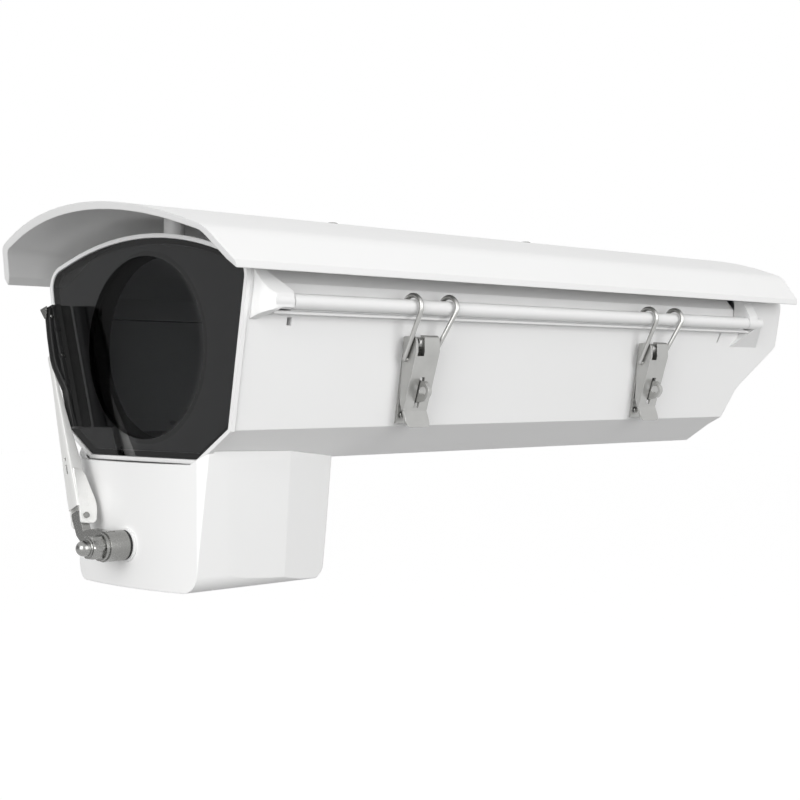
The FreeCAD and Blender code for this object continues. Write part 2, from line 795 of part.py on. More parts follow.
# Hinge: two brackets screwed to the outer wall, each knuckle on its own pin.
brackets = new_body("hinge_brackets")
pins = new_body("hinge_pins")
hinge_screws = new_body("hinge_screws")
LEAF_OUT = f"(-1 * {wall_x('leaf_low')} - leaf_depth)"
for station in ("hinge_front_y", "hinge_rear_y"):
    stop = f"{station} + knuckle_length"
    pad(brackets, "front", station, stop, [
        (f"-1 * {wall_x('leaf_low')}", "leaf_low"), (f"-1 * {wall_x('bead_z - 6.2')}", "bead_z - 6.2"),
        ("-lip_half + 1", "bead_z - 6.2"),
        ("-bead_x + 0.5", "bead_z"), ("-bead_x - bead_radius + 0.3", "bead_z"),
        (f"-1 * {wall_x('bead_z - 10')} - leaf_depth", "bead_z - 10", "2"),
        (LEAF_OUT, "leaf_low")])
    pad(brackets, "front", station, stop, disc("-bead_x", "bead_z", "bead_radius - 0.1"))
    pocket(brackets, "front", f"{station} - 1", f"{stop} + 1",
           disc("-bead_x", "bead_z", "hinge_pin + 0.01"))
    pad(pins, "front", f"{station} - pin_reach", f"{stop} + pin_reach",
        disc("-bead_x", "bead_z", "hinge_pin"))
    leaf_face = f"-1 * {wall_x('leaf_low + hinge_screw_up')} - leaf_depth"
    for along in (f"{station} + hinge_screw_inset", f"{stop} - hinge_screw_inset"):
        pad(hinge_screws, "side", f"{leaf_face} - hinge_screw_high", f"{leaf_face} - hinge_screw_sunk",
            disc(along, "leaf_low + hinge_screw_up", "hinge_screw_radius"))

# Sunshield: folded and rolled sheet over the lid, raked at the front.
shade = new_body("sunshield")
SHADE_REAR = "shade_front + shade_length"
pad(shade, "front", "shade_front - 30", SHADE_REAR, mirrored([
    ("0", "shade_peak", SHADE_RADIUS),
    ("-shade_shoulder_half", "shade_shoulder_height", "shade_shoulder_radius"),
    ("-shade_half", "shade_low + shade_lip"), ("-shade_half", "shade_low")]))
pocket(shade, "front", "shade_front - 31", f"{SHADE_REAR} + 1", mirrored([
    ("0", "shade_peak - shade_wall * 1.35", f"{SHADE_RADIUS} + shade_wall"),
    ("-shade_shoulder_half + 2.7", "shade_shoulder_height - 2", "shade_shoulder_radius - shade_wall"),
    ("cove_inset - shade_half", "shade_low + cove_rise"), ("cove_lip - shade_half", "shade_low"),
    ("cove_inset - shade_half", "shade_low - 5")]))
pocket(shade, "side", "-100", "100", [
    ("shade_front - 40", "shade_low - 5"), ("shade_front + 5 * shade_rake", "shade_low - 5"),
    ("shade_front - (shade_peak - shade_low) * shade_rake", "shade_peak"),
    ("shade_front - 40", "shade_peak")])
for station in ("shade_screw_front", "shade_screw_rear"):
    pocket(shade, "top", "shade_low", "shade_peak", disc("0", station, "shade_screw_radius + shade_play"))


LID_TOP = crown("lid_peak", "lid_shoulder_half", "lid_shoulder_height", LID_RADIUS)
SHADE_TOP = crown("shade_peak", "shade_shoulder_half", "shade_shoulder_height", SHADE_RADIUS)
LID_UNDER = crown("(lid_peak - lid_wall * 1.05)", "(lid_shoulder_half - lid_wall * 0.7)",
                  "(lid_shoulder_height - lid_wall * 1.1)", f"{LID_RADIUS} - lid_wall")
SHADE_UNDER = crown("(shade_peak - shade_wall * 1.35)", "(shade_shoulder_half - 2.7)",
                    "(shade_shoulder_height - 2)", f"{SHADE_RADIUS} + shade_wall")
spacers = new_body("sunshield_spacers")
screws = new_body("sunshield_screws")
nuts = new_body("sunshield_nuts")
for station in ("shade_screw_front", "shade_screw_rear"):
    pad(spacers, "top", LID_TOP, f"{SHADE_UNDER} - 0.1", disc("0", station, "spacer_radius"))
    pad(screws, "top", f"{LID_TOP} - 8", f"{SHADE_TOP} + 0.1", disc("0", station, "shade_screw_radius"))
    pad(screws, "top", f"{SHADE_TOP} + 0.1", f"{SHADE_TOP} + 0.1 + shade_head_depth",
        disc("0", station, "shade_head_radius"))
    pad(nuts, "top", f"{LID_UNDER} - 0.05 - shade_nut_depth", f"{LID_UNDER} - 0.05",
        hexagon("0", station, "shade_nut_flats"))
    pocket(spacers, "top", f"{LID_TOP} - 1", f"{SHADE_UNDER} + 1",
           disc("0", station, "shade_screw_radius + 0.05"))
    pocket(nuts, "top", f"{LID_TOP} - 9", LID_TOP, disc("0", station, "shade_screw_radius + 0.02"))
pad(spacers, "top", LID_TOP, f"{SHADE_UNDER} - 0.1", disc("0", "shade_rest_y", "spacer_radius"))


# Latches: an over-centre pair on +X. The base plate carries the lever on its
# ears and the padlock ear that comes through the lever's slot; the bail turns
# in the lever's flanges and reaches over the lid's bead into the gutter.
def latch(name, middle):
    base = new_body(f"{name}_latch_base")
    pad(base, "front", f"{middle} - plate_half", f"{middle} + plate_half", [
        (wall_x("plate_low"), "plate_low"), (f"{wall_x('plate_low')} + plate_depth", "plate_low"),
        (f"{wall_x('plate_high')} + plate_depth", "plate_high"), (wall_x("plate_high"), "plate_high")])
    for start in (f"{middle} - plate_half", f"{middle} + plate_half - ear_depth"):
        pad(base, "front", start, f"{start} + ear_depth", [
            (wall_x("plate_high - 10"), "plate_high - 10"), ("lever_pivot_x - 1.6", "plate_high - 8"),
            ("lever_pivot_x + 2.1", "lever_pivot_z - 1.2", "1.8"),
            ("lever_pivot_x + 0.6", "lever_pivot_z + 2.4", "1.6"),
            ("lever_pivot_x - 2.4", "lever_pivot_z + 1.4", "1"),
            (wall_x("plate_high"), "plate_high")])
    pad(base, "front", f"{middle} - hasp_half", f"{middle} + hasp_half", [
        (f"{wall_x('hasp_z - 7')} + 0.5", "hasp_z - 7"), ("hasp_x + 1.5", "hasp_z - hasp_radius + 0.1", "3"),
        ("hasp_x + hasp_radius", "hasp_z", "3.5"), ("hasp_x + 1", "hasp_z + hasp_radius", "3"),
        (f"{wall_x('hasp_z + 6')} + 0.5", "hasp_z + 6")])
    pocket(base, "front", f"{middle} - 8", f"{middle} + 8", disc("hasp_x", "hasp_z", "hasp_hole"))
    pocket(base, "front", f"{middle} - 8", f"{middle} + 8",
           disc("lever_pivot_x", "lever_pivot_z", "latch_pin + 0.01"))
    lever = new_body(f"{name}_latch_lever")
    skin = [("lever_pivot_x + 2.2", "lever_pivot_z + 3.8"),
            ("lever_pivot_x + 4.75", "lever_pivot_z + 3.8", "2.2"),
            ("lever_pivot_x + 4.6", "lever_pivot_z - 4.2"), ("hasp_x - 6.1", "plate_low + 6", "3"),
            ("hasp_x - 2.25", "plate_low - 1.5"), ("hasp_x - 3.3", "plate_low - 2"),
            ("hasp_x - 7.35", "plate_low + 5.9", "4"), ("lever_pivot_x + 3.4", "lever_pivot_z - 4"),
            ("lever_pivot_x + 3.5", "lever_pivot_z + 2.8", "1.2"),
            ("lever_pivot_x + 2.2", "lever_pivot_z + 2.8")]
    pad(lever, "front", f"{middle} - lever_half", f"{middle} + lever_half", skin)
    for start in (f"{middle} - lever_half", f"{middle} + lever_half - lever_wall"):
        pad(lever, "front", start, f"{start} + lever_wall", [
            ("lever_pivot_x - 3.2", "lever_pivot_z + 3.6", "2.6"),
            ("lever_pivot_x + 4.4", "lever_pivot_z + 3.6", "2"),
            ("lever_pivot_x + 4.4", "lever_pivot_z - 4.2"), ("hasp_x - 6.5", "plate_low + 6"),
            ("hasp_x - 7.6", "plate_low + 5.4"), ("hasp_x - 8.8", "plate_low + 11", "3"),
            ("lever_pivot_x - 4.6", "lever_pivot_z - 8", "3")])
    pocket(lever, "side", "lever_pivot_x - 7", "lever_pivot_x + 7",
           rectangle(f"{middle} - slot_half", "hasp_z - 8", f"{middle} + slot_half", "hasp_z + 6.5", "1"))
    pocket(lever, "front", f"{middle} - lever_half - 1", f"{middle} + lever_half + 1",
           disc("lever_pivot_x", "lever_pivot_z", "latch_pin + pivot_gap"),
           disc("bail_pivot_x", "bail_pivot_z", "bail_wire + pivot_gap"))
    pocket(lever, "front", f"{middle} - lever_half + lever_wall", f"{middle} - lever_half + 5",
           rectangle("lever_pivot_x + 1", "lever_pivot_z + 0.6", "lever_pivot_x + 6", "lever_pivot_z + 5"))
    bail = bent_wire(bail_route(middle), "bail_wire")
    solid_feature(f"{name}_latch_bail", [bail])


def bail_route(middle):
    sweep = 166 / 6
    reach = "(bead_radius + bail_gap + bail_wire)"
    left = f"{middle} - lever_half - leg_inset"
    right = f"{middle} + lever_half + leg_inset"
    far = f"{right} + leg_splay"
    route = []
    corners = []
    for step in range(3):
        angle = math.radians(-26 + sweep * (2 * step + 1))
        scale = 1 / math.cos(math.radians(sweep))
        corners.append((f"bead_x + {reach} * {scale * math.cos(angle)}",
                        f"bead_z + {reach} * {scale * math.sin(angle)}"))
    end = math.radians(140)
    rest = (f"bead_x + {reach} * {math.cos(end)} - bail_tail * {math.sin(end)}",
            f"bead_z + {reach} * {math.sin(end)} + bail_tail * {math.cos(end)}")
    route.append(("bail_pivot_x", f"{middle} - lever_half + 0.25", "bail_pivot_z", "0"))
    route.append(("bail_pivot_x", left, "bail_pivot_z", "0.9"))
    for across, up in corners:
        route.append((across, left, up, reach))
    route.append((rest[0], left, rest[1], "2"))
    route.append((rest[0], far, rest[1], "2"))
    for across, up in reversed(corners):
        route.append((across, far, up, reach))
    route.append(("bail_pivot_x", right, "bail_pivot_z", "0.9"))
    route.append(("bail_pivot_x", f"{middle} + lever_half - 0.25", "bail_pivot_z", "0"))
    return route


latch("front", "latch_front_y")
latch("rear", "latch_rear_y")
latch_pins = new_body("latch_pins")
rivets = new_body("latch_rivets")
coils = []
for middle in ("latch_front_y", "latch_rear_y"):
    pad(latch_pins, "front", f"{middle} - lever_half - 0.05", f"{middle} + lever_half + 0.05",
        disc("lever_pivot_x", "lever_pivot_z", "latch_pin"))
    plate_face = f"{wall_x('plate_low + rivet_up')} + plate_depth"
    pad(rivets, "side", f"{plate_face} + rivet_sunk", f"{plate_face} + rivet_high",
        disc(f"{middle} - rivet_across", "plate_low + rivet_up", "rivet_radius"),
        disc(f"{middle} + rivet_across", "plate_low + rivet_up", "rivet_radius"))
    helix = Part.makeHelix(value("spring_wire * 2 + spring_gap"), value("spring_length"),
                           value("spring_radius"))
    ring_centre = Vector(value("spring_radius"), 0, 0)
    ring = Part.Circle(ring_centre, Vector(0, 1, 0), value("spring_wire")).toShape()
    coil = Part.Wire(helix.Edges).makePipeShell([Part.Wire(ring)], True, True)
    coil_start = Vector(value("lever_pivot_x"), value(f"{middle} - spring_length / 2"),
                        value("lever_pivot_z"))
    coil.Placement = FreeCAD.Placement(coil_start, FreeCAD.Rotation(Vector(1, 0, 0), -90))
    coils.append(coil)
solid_feature("latch_springs", coils)


# Wiper cover: a drafted box with a bulged front, under the front of the base,
# hollow and closed by the casting. Its sides taper down, and its lower edges
# are rounded, so it is where four views of it meet.
COVER_HALF = "(cover_corner_half + cover_chamfer)"
cover_sides = free_sketch("CoverSides", FLAT, mirrored([
    (f"-{COVER_HALF}", "cover_front - 20"), (f"-{COVER_HALF}", "cover_corner_y + cover_chamfer"),
    ("-cover_crease_half - 2.6", "cover_crease_y"), ("-cover_rear_half", "cover_rear_y")]))
BULGE = "(cover_corner_y - cover_front)"
cover_face = free_sketch("CoverFace", FLAT, mirrored([
    ("0", "cover_front",
     f"0.96 * sqrt(cover_corner_half^2 + {BULGE}^2) * cover_corner_half / {BULGE}"),
    ("-cover_corner_half", "cover_corner_y"),
    (f"-{COVER_HALF} - 6", "cover_corner_y + cover_chamfer + 6"),
    (f"-{COVER_HALF} - 6", "cover_rear_y + 5")]))
cover_front_view = free_sketch("CoverFrontView", ACROSS, mirrored([
    (f"-{COVER_HALF} - 1", "belly_height + 5"),
    (f"-{COVER_HALF} + cover_draft - 0.4", "cover_low", "cover_round")]))
cover_side_view = free_sketch("CoverSideView", ALONG, [
    ("cover_front - 20", "cover_low"), ("cover_rear_y - cover_back_draft", "cover_low", "cover_round"),
    ("cover_rear_y", "belly_height + 5"), ("cover_front - 20", "belly_height + 5")])
UPWARD = Vector(0, 0, 1)


def cover_block(grow, low):
    sides = prism(cover_sides, Vector(0, 0, -1), "-belly_height", f"-({low})", grow)
    sides.TaperAngle = -math.degrees(math.atan2(value("cover_draft"), value("belly_height - cover_low")))
    return common(sides, prism(cover_face, UPWARD, low, "belly_height", grow),
                  prism(cover_front_view, SIDEWAYS, "cover_front - 20", "cover_rear_y + 10", grow),
                  prism(cover_side_view, Vector(1, 0, 0), "-80", "80", grow))


section_clear = prism(section, SIDEWAYS, "shell_front - 30", SHELL_REAR, "0.05")
rim_clear = prism(section, SIDEWAYS, "shell_front - 30", "shell_front + rim_depth + 0.05",
                  "rim_proud + 0.05")
bush_hole = doc.addObject("Part::Cylinder", "BushHole")
bind(bush_hole, "Radius", "bush_radius + 0.02")
bind(bush_hole, "Height", "20")
place(bush_hole, "0", "cover_front - 2", "shaft_z", FreeCAD.Rotation(Vector(1, 0, 0), -90))
hollow = cover_block("-cover_wall", "cover_low + cover_wall")
cover = cover_block(None, "cover_low")
for tool in (hollow, section_clear, rim_clear, bush_hole):
    cover = cut(cover, tool)
keep(cover, "motor_cover")

# Wiper drive inside the cover: gearbox on a bracket, motor can, shaft, bush.
COVER_FACE = "(cover_front + face_back)"
gearbox = new_body("gearbox")
pad(gearbox, "front", "shell_front + 4", "shell_front + 4 + gearbox_depth",
    rectangle("-gearbox_half", "shaft_z - 14", "gearbox_half", "shaft_z + gearbox_half", "3"))
pocket(gearbox, "front", "shell_front + 3", "shell_front + 16",
       disc("0", "shaft_z", "shaft_radius + shaft_gap"))
motor = new_body("wiper_motor")
MOTOR_FRONT = "shell_front + 4 + gearbox_depth"
pad(motor, "front", MOTOR_FRONT, f"{MOTOR_FRONT} + motor_length", disc("0", "shaft_z", "motor_radius"))
pad(motor, "front", f"{MOTOR_FRONT} + motor_length", f"{MOTOR_FRONT} + motor_length + 3",
    disc("0", "shaft_z", "4"))
bracket = new_body("motor_bracket")
pad(bracket, "front", "shell_front + 2", "shell_front + 4",
    rectangle("-30", "shaft_z - 12", "30", "shaft_z + 34", "2"))
pocket(bracket, "front", "shell_front + 1", "shell_front + 5", disc("0", "shaft_z", "shaft_radius + 1.5"))
bush = new_body("shaft_bush")
pad(bush, "front", f"{COVER_FACE} - bush_proud", "shell_front + 1.8", disc("0", "shaft_z", "bush_radius"))
pocket(bush, "front", "cover_front", "shell_front + 6", disc("0", "shaft_z", "shaft_radius + shaft_gap"))
shaft_seal = new_body("shaft_seal")
pad(shaft_seal, "front", f"{COVER_FACE} - bush_proud - seal_depth", f"{COVER_FACE} - bush_proud",
    disc("0", "shaft_z", "hub_radius + seal_band"))
pocket(shaft_seal, "front", "cover_front", "shell_front + 6",
       disc("0", "shaft_z", "shaft_radius + shaft_gap"))
shaft = new_body("wiper_shaft")
pad(shaft, "front", "hub_front - 6", "shell_front + 15", disc("0", "shaft_z", "shaft_radius"))

# Frames of the arm and the blade: Z runs from start to stop, X lies across it
# in the plane of the window, and Y points to the glass.
def aim(start, stop):
    along = Vector(*[value(number) for number in stop]) - Vector(*[value(number) for number in start])
    across = Vector(along.z, 0, -along.x)
    return FreeCAD.Rotation(across, Vector(0, 1, 0), along, "ZXY")


foot = ("arm_foot_x", "arm_foot_y", "arm_foot_z")
tip = ("arm_tip_x", "arm_tip_y", "arm_tip_z")
arm_turn = aim(foot, tip)
ARM = "sqrt((arm_tip_x - arm_foot_x)^2 + (arm_tip_y - arm_foot_y)^2 + (arm_tip_z - arm_foot_z)^2)"
ARM_FLAT = "sqrt((arm_tip_x - arm_foot_x)^2 + (arm_tip_z - arm_foot_z)^2)"


def by_arm(across, along, radius="0"):
    lean_x = f"(arm_tip_x - arm_foot_x) / {ARM_FLAT}"
    lean_z = f"(arm_tip_z - arm_foot_z) / {ARM_FLAT}"
    return (f"arm_foot_x + ({across}) * {lean_z} + ({along}) * {lean_x}",
            f"arm_foot_z - ({across}) * {lean_x} + ({along}) * {lean_z}", radius)


# Wiper head: the collar on the shaft, with a foot that narrows to the tongue
# that the arm hinges on.
head = new_body("HeadBlank", False)
pad(head, "front", "hub_front", "hub_rear", disc("0", "shaft_z", "hub_radius"))
pad(head, "front", "hub_front + 1", "hub_front + 1 + head_depth", [
    ("2", "shaft_z + hub_radius"), ("-11", "shaft_z + hub_radius + 0.2"),
    by_arm("tongue_half", "-tongue_drop"), by_arm("tongue_half", "2.8", "1.2"),
    by_arm("-tongue_half", "2.8", "1.2"), by_arm("-tongue_half", "-tongue_drop"),
    ("-12", "shaft_z - 4.5", "4"), ("2", "shaft_z - 4")])
pocket(head, "front", "hub_front - 1", "hub_rear + 1", disc("0", "shaft_z", "shaft_radius + 0.01"))
pin_way = new_body("PinWay", False)
pad(pin_way, "side", "-tongue_half - 3", "tongue_half + 3",
    disc("arm_pin_depth", "0", "arm_pin_radius + 0.01"))
place(pin_way, *foot, arm_turn)
keep(cut(head, pin_way), "wiper_head")
washer = new_body("wiper_washer")
pad(washer, "front", "hub_front - washer_depth", "hub_front", disc("0", "shaft_z", "washer_radius"))
pocket(washer, "front", "hub_front - 3", "hub_front + 1", disc("0", "shaft_z", "shaft_radius + 0.02"))
nut = new_body("wiper_nut")
NUT_FRONT = "(hub_front - washer_depth - nut_depth)"
pad(nut, "front", NUT_FRONT, "hub_front - washer_depth", hexagon("0", "shaft_z", "nut_flats"))
pad(nut, "front", f"{NUT_FRONT} - cap_depth", NUT_FRONT, disc("0", "shaft_z", "cap_radius"))
pocket(nut, "front", "hub_front - 7", "hub_front - 1", disc("0", "shaft_z", "shaft_radius + 0.02"))

# Wiper arm: a folded channel that narrows to the tip, its two cheeks hinged on
# the tongue by a pin, with the tension spring inside that pulls it to the glass.
arm_pin = new_body("arm_hinge_pin")
pad(arm_pin, "side", "-arm_half - arm_wall - 1.1", "arm_half + arm_wall + 1.1",
    disc("arm_pin_depth", "0", "arm_pin_radius"))
place(arm_pin, *foot, arm_turn)
arm = new_body("wiper_arm")
pad(arm, "side", "-arm_half", "arm_half", [
    ("0", "5"), ("5.8", "6"), ("6", f"{ARM} * 0.3"), ("3.8", f"{ARM} * 0.6"), ("1.9", f"{ARM} * 0.8"),
    ("3.6", f"{ARM} * 0.93"), ("3.6", ARM), ("0", ARM)])
pocket(arm, "front", "-1", "10", [
    ("arm_half + 1", f"{ARM} * 0.45"), ("arm_half", f"{ARM} * 0.45"), ("arm_tip_half", f"{ARM} * 0.8"),
    ("arm_tip_half", f"{ARM} + 1"), ("arm_half + 1", f"{ARM} + 1")])
pocket(arm, "front", "-1", "10", [
    ("-arm_half - 1", f"{ARM} * 0.45"), ("-arm_half", f"{ARM} * 0.45"), ("-arm_tip_half", f"{ARM} * 0.8"),
    ("-arm_tip_half", f"{ARM} + 1"), ("-arm_half - 1", f"{ARM} + 1")])
pocket(arm, "front", "arm_wall", "10", [
    ("arm_half - arm_wall", "0"), ("arm_half - arm_wall", f"{ARM} * 0.45"),
    ("arm_tip_half - arm_wall", f"{ARM} * 0.8"), ("arm_tip_half - arm_wall", f"{ARM} - 1"),
    ("arm_wall - arm_tip_half", f"{ARM} - 1"), ("arm_wall - arm_tip_half", f"{ARM} * 0.8"),
    ("arm_wall - arm_half", f"{ARM} * 0.45"), ("arm_wall - arm_half", "0")])
for start in ("-arm_half - arm_wall", "arm_half"):
    pad(arm, "side", start, f"{start} + arm_wall", [
        ("0.6", "-3.6", "2"), ("6.8", "-3.6", "2"), ("6.8", "9", "3"), ("5", "15"), ("0", "15"), ("0", "5")])
for start, stop in (("-arm_half - arm_wall", "-arm_half + 0.01"), ("arm_half - 0.01", "arm_half + arm_wall")):
    pad(arm, "side", start, stop, rectangle("0", "5.5", "5", "15"))
pocket(arm, "side", "-10", "10", disc("arm_pin_depth", "0", "arm_pin_radius + 0.05"))
pocket(arm, "side", "-10", "10", disc("2.09", f"{ARM} - 1.65", "blade_pin_radius + 0.3"))
place(arm, *foot, arm_turn)
arm_spring = new_body("arm_spring")
pad(arm_spring, "top", "arm_spring_start", "arm_spring_start + arm_spring_length",
    disc("0", "arm_spring_depth", "arm_spring_radius"))
place(arm_spring, *foot, arm_turn)

# Blade: an arched plastic holder with a clip at its top end and the rubber in
# its claws, rocking on a side pin in the arm's tip.
BLADE_FACE = f"({GLASS_FRONT} - blade_off)"
blade_turn = aim(("blade_low_x", "0", "blade_low_z"), ("blade_top_x", "0", "blade_top_z"))
BLADE = "sqrt((blade_top_x - blade_low_x)^2 + (blade_top_z - blade_low_z)^2)"
holder = new_body("blade_holder")
pad(holder, "side", "-holder_half", "holder_half", [
    ("-9.3", "0"), ("-10.2", f"{BLADE} * 0.27"), ("-15.4", f"{BLADE} * 0.56", "12"),
    ("-13", f"{BLADE} - 1"), ("-9.4", BLADE)])
pocket(holder, "side", "-10", "10",
       disc("-blade_pin_depth", "blade_pin_along", "blade_pin_radius + 0.01"))
rubber = new_body("wiper_rubber")
pad(rubber, "top", "0", BLADE, [("-2", "-9.2"), ("-2", "-6.5"), ("-0.9", "-5.8"), ("-0.4", "0"),
                                ("0.4", "0"), ("0.9", "-5.8"), ("2", "-6.5"), ("2", "-9.2")])
clip = new_body("blade_clip")
pad(clip, "side", "-holder_half - 0.8", "holder_half + 0.8", [
    ("-15.4", f"{BLADE} - 7"), ("-14.6", f"{BLADE} - 7"),
    ("-13.7", f"{BLADE} - 1.5"), ("-14.6", f"{BLADE} - 1.2")])
blade_pin = new_body("blade_pin")
pad(blade_pin, "side", "-8.4", "holder_half + 0.6",
    disc("-blade_pin_depth", "blade_pin_along", "blade_pin_radius"))
for piece in (holder, rubber, clip, blade_pin):
    place(piece, "blade_low_x", BLADE_FACE, "blade_low_z", blade_turn)

# Cable glands on the sloped tail.
gland_body = new_body("gland_bodies")
gland_nut = new_body("gland_nuts")
gland_seal = new_body("gland_seals")
for across in ("-gland_pitch / 2", "gland_pitch / 2"):
    pad(gland_body, "top", "0", "gland_flange", hexagon(across, "0", "gland_flats"))
    pad(gland_body, "top", "-wall - 4", "gland_reach", disc(across, "0", "gland_thread"))
    pocket(gland_body, "top", "-wall - 5", "gland_reach + 1", disc(across, "0", "gland_bore + gland_wall"))
    pad(gland_nut, "top", "-wall - gland_locknut", "-wall", hexagon(across, "0", "gland_flats + 2"))
    pocket(gland_nut, "top", "-wall - 4", "-wall + 1", disc(across, "0", "gland_thread + 0.03"))
    pad(gland_nut, "top", "gland_cap_start", "gland_cap_stop", hexagon(across, "0", "gland_flats - 1"))
    pad(gland_nut, "top", "gland_cap_stop", "gland_lip_stop", disc(across, "0", "gland_thread"))
    pocket(gland_nut, "top", "gland_flange", "gland_reach + 1", disc(across, "0", "gland_thread + 0.03"))
    pocket(gland_nut, "top", "gland_reach", "gland_lip_stop + 1.5", disc(across, "0", "gland_bore + 1"))
    pad(gland_seal, "top", "gland_flange + 0.2", "gland_reach + 0.6",
        disc(across, "0", "gland_bore + gland_wall - 0.1"))
    pocket(gland_seal, "top", "gland_flange", "gland_reach + 1", disc(across, "0", "gland_bore"))
for piece in (gland_body, gland_nut, gland_seal):
    place(piece, *gland_spot, tail_turn)

# Inside: an equipment tray on standoffs, the power board and its terminals at
# the rear, a finned heater by the window and a fan that stands on the floor.
tray = new_body("camera_tray")
pad(tray, "top", "tray_height", "tray_height + tray_sheet",
    rectangle("-tray_half", "tray_front", "tray_half", "tray_rear", "4"))
for side in ("-1", "1"):
    pad(tray, "side", f"{side} * (tray_half - tray_sheet / 2) - tray_sheet / 2",
        f"{side} * (tray_half - tray_sheet / 2) + tray_sheet / 2", [
            ("tray_front + 8", "tray_height"), ("tray_rear - 8", "tray_height"),
            ("tray_rear - 12", "tray_height + 8"), ("tray_front + 12", "tray_height + 8")])
pocket(tray, "top", "tray_height - 1", "tray_height + tray_sheet + 1",
       rectangle("-3.3", "tray_front + 30", "3.3", "tray_rear - 60", "3.2"))
standoffs = new_body("tray_standoffs")
tray_screws = new_body("tray_screws")
for across in ("-tray_half + 16", "tray_half - 16"):
    for along in ("tray_front + 12", "tray_rear - 30"):
        pad(standoffs, "top", "wall", "tray_height", disc(across, along, "standoff_radius"))
        pad(tray_screws, "top", "tray_height + tray_sheet", "tray_height + tray_sheet + 2",
            disc(across, along, "standoff_radius - 1"))
board_posts = new_body("board_standoffs")
board = new_body("power_board")
BOARD_LOW = "(tray_height + tray_sheet + board_lift)"
for across in ("-board_half + 5", "board_half - 5"):
    for along in ("board_front + 5", "board_front + board_length - 5"):
        pad(board_posts, "top", "tray_height + tray_sheet", BOARD_LOW, disc(across, along, "board_post"))
pad(board, "top", BOARD_LOW, f"{BOARD_LOW} + board_depth",
    rectangle("-board_half", "board_front", "board_half", "board_front + board_length", "2"))
pad(board, "top", f"{BOARD_LOW} + board_depth", f"{BOARD_LOW} + 20",
    rectangle("-board_half + 6", "board_front + 6", "-4", "board_front + 26", "1"))
terminals = new_body("terminal_block")
pad(terminals, "top", f"{BOARD_LOW} + board_depth", f"{BOARD_LOW} + 12",
    rectangle("2", "board_front + 26", "board_half - 4", "board_front + 36"))
for step in range(5):
    across = f"2 + (board_half - 6) * {(step + 0.5) / 5}"
    pocket(terminals, "top", f"{BOARD_LOW} + 8", f"{BOARD_LOW} + 13", disc(across, "board_front + 31", "1.8"))
heater = new_body("heater")
pad(heater, "top", "wall", "wall + heater_base",
    rectangle("-heater_half", "heater_y - heater_half_depth",
              "heater_half", "heater_y + heater_half_depth", "2"))
for step in range(7):
    across = f"-heater_half + 2 + (2 * heater_half - 4) * {step / 6}"
    pad(heater, "top", "wall + heater_base", "wall + heater_base + fin_height",
        rectangle(f"{across} - fin_half", "heater_y - heater_half_depth",
                  f"{across} + fin_half", "heater_y + heater_half_depth"))
FAN_Z = "(wall + fan_half)"
fan_frame = new_body("fan_frame")
pad(fan_frame, "front", "fan_y", "fan_y + fan_depth",
    rectangle("-fan_half", "wall", "fan_half", "wall + 2 * fan_half", "3"))
pocket(fan_frame, "front", "fan_y - 1", "fan_y + fan_depth + 1", disc("0", FAN_Z, "fan_bore"))
pad(fan_frame, "front", "fan_y + fan_depth - fan_web", "fan_y + fan_depth", disc("0", FAN_Z, "fan_hub"))
for low, high in (("fan_hub - 1", "fan_bore + 0.5"), ("-fan_bore - 0.5", "-fan_hub + 1")):
    pad(fan_frame, "front", "fan_y + fan_depth - fan_web", "fan_y + fan_depth",
        rectangle("-fan_spoke", f"{FAN_Z} + {low}", "fan_spoke", f"{FAN_Z} + {high}"),
        rectangle(low, f"{FAN_Z} - fan_spoke", high, f"{FAN_Z} + fan_spoke"))
pad(fan_frame, "front", "fan_y + 3", "fan_y + fan_depth - 1", disc("0", FAN_Z, "1.5"))
rotor = new_body("fan_rotor")
pad(rotor, "front", "fan_y + 1", "fan_y + fan_depth - 2", disc("0", FAN_Z, "fan_hub"))
for step in range(7):
    angle = 360 * step / 7
    ax = math.cos(math.radians(angle))
    az = math.sin(math.radians(angle))
    pad(rotor, "front", "fan_y + 1.5", "fan_y + fan_depth - 2.5", [
        (f"(fan_hub - 1) * {ax} + 1.6 * {az}", f"{FAN_Z} + (fan_hub - 1) * {az} - 1.6 * {ax}"),
        (f"(fan_bore - 1) * {ax} + 4 * {az}", f"{FAN_Z} + (fan_bore - 1) * {az} - 4 * {ax}"),
        (f"(fan_bore - 0.9) * {ax} + 2.6 * {az}", f"{FAN_Z} + (fan_bore - 0.9) * {az} - 2.6 * {ax}"),
        (f"(fan_hub - 1) * {ax} - 0.2 * {az}", f"{FAN_Z} + (fan_hub - 1) * {az} + 0.2 * {ax}")])
pocket(rotor, "front", "fan_y", "fan_y + fan_depth", disc("0", FAN_Z, "1.55"))

doc.recompute()
for thing in doc.Objects:
    if "Invalid" in thing.State or "Error" in thing.State:
        raise ValueError("not built: " + thing.Name)
os.makedirs("parts", exist_ok=True)
for node in nodes:
    if node.Shape.isNull() or not node.Shape.isValid():
        raise ValueError("bad shape: " + node.Label)
    node.Shape.exportStep("parts/" + node.Label + ".step")
    print(node.Label, len(node.Shape.Solids), round(node.Shape.Volume), node.Shape.BoundBox)
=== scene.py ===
import math

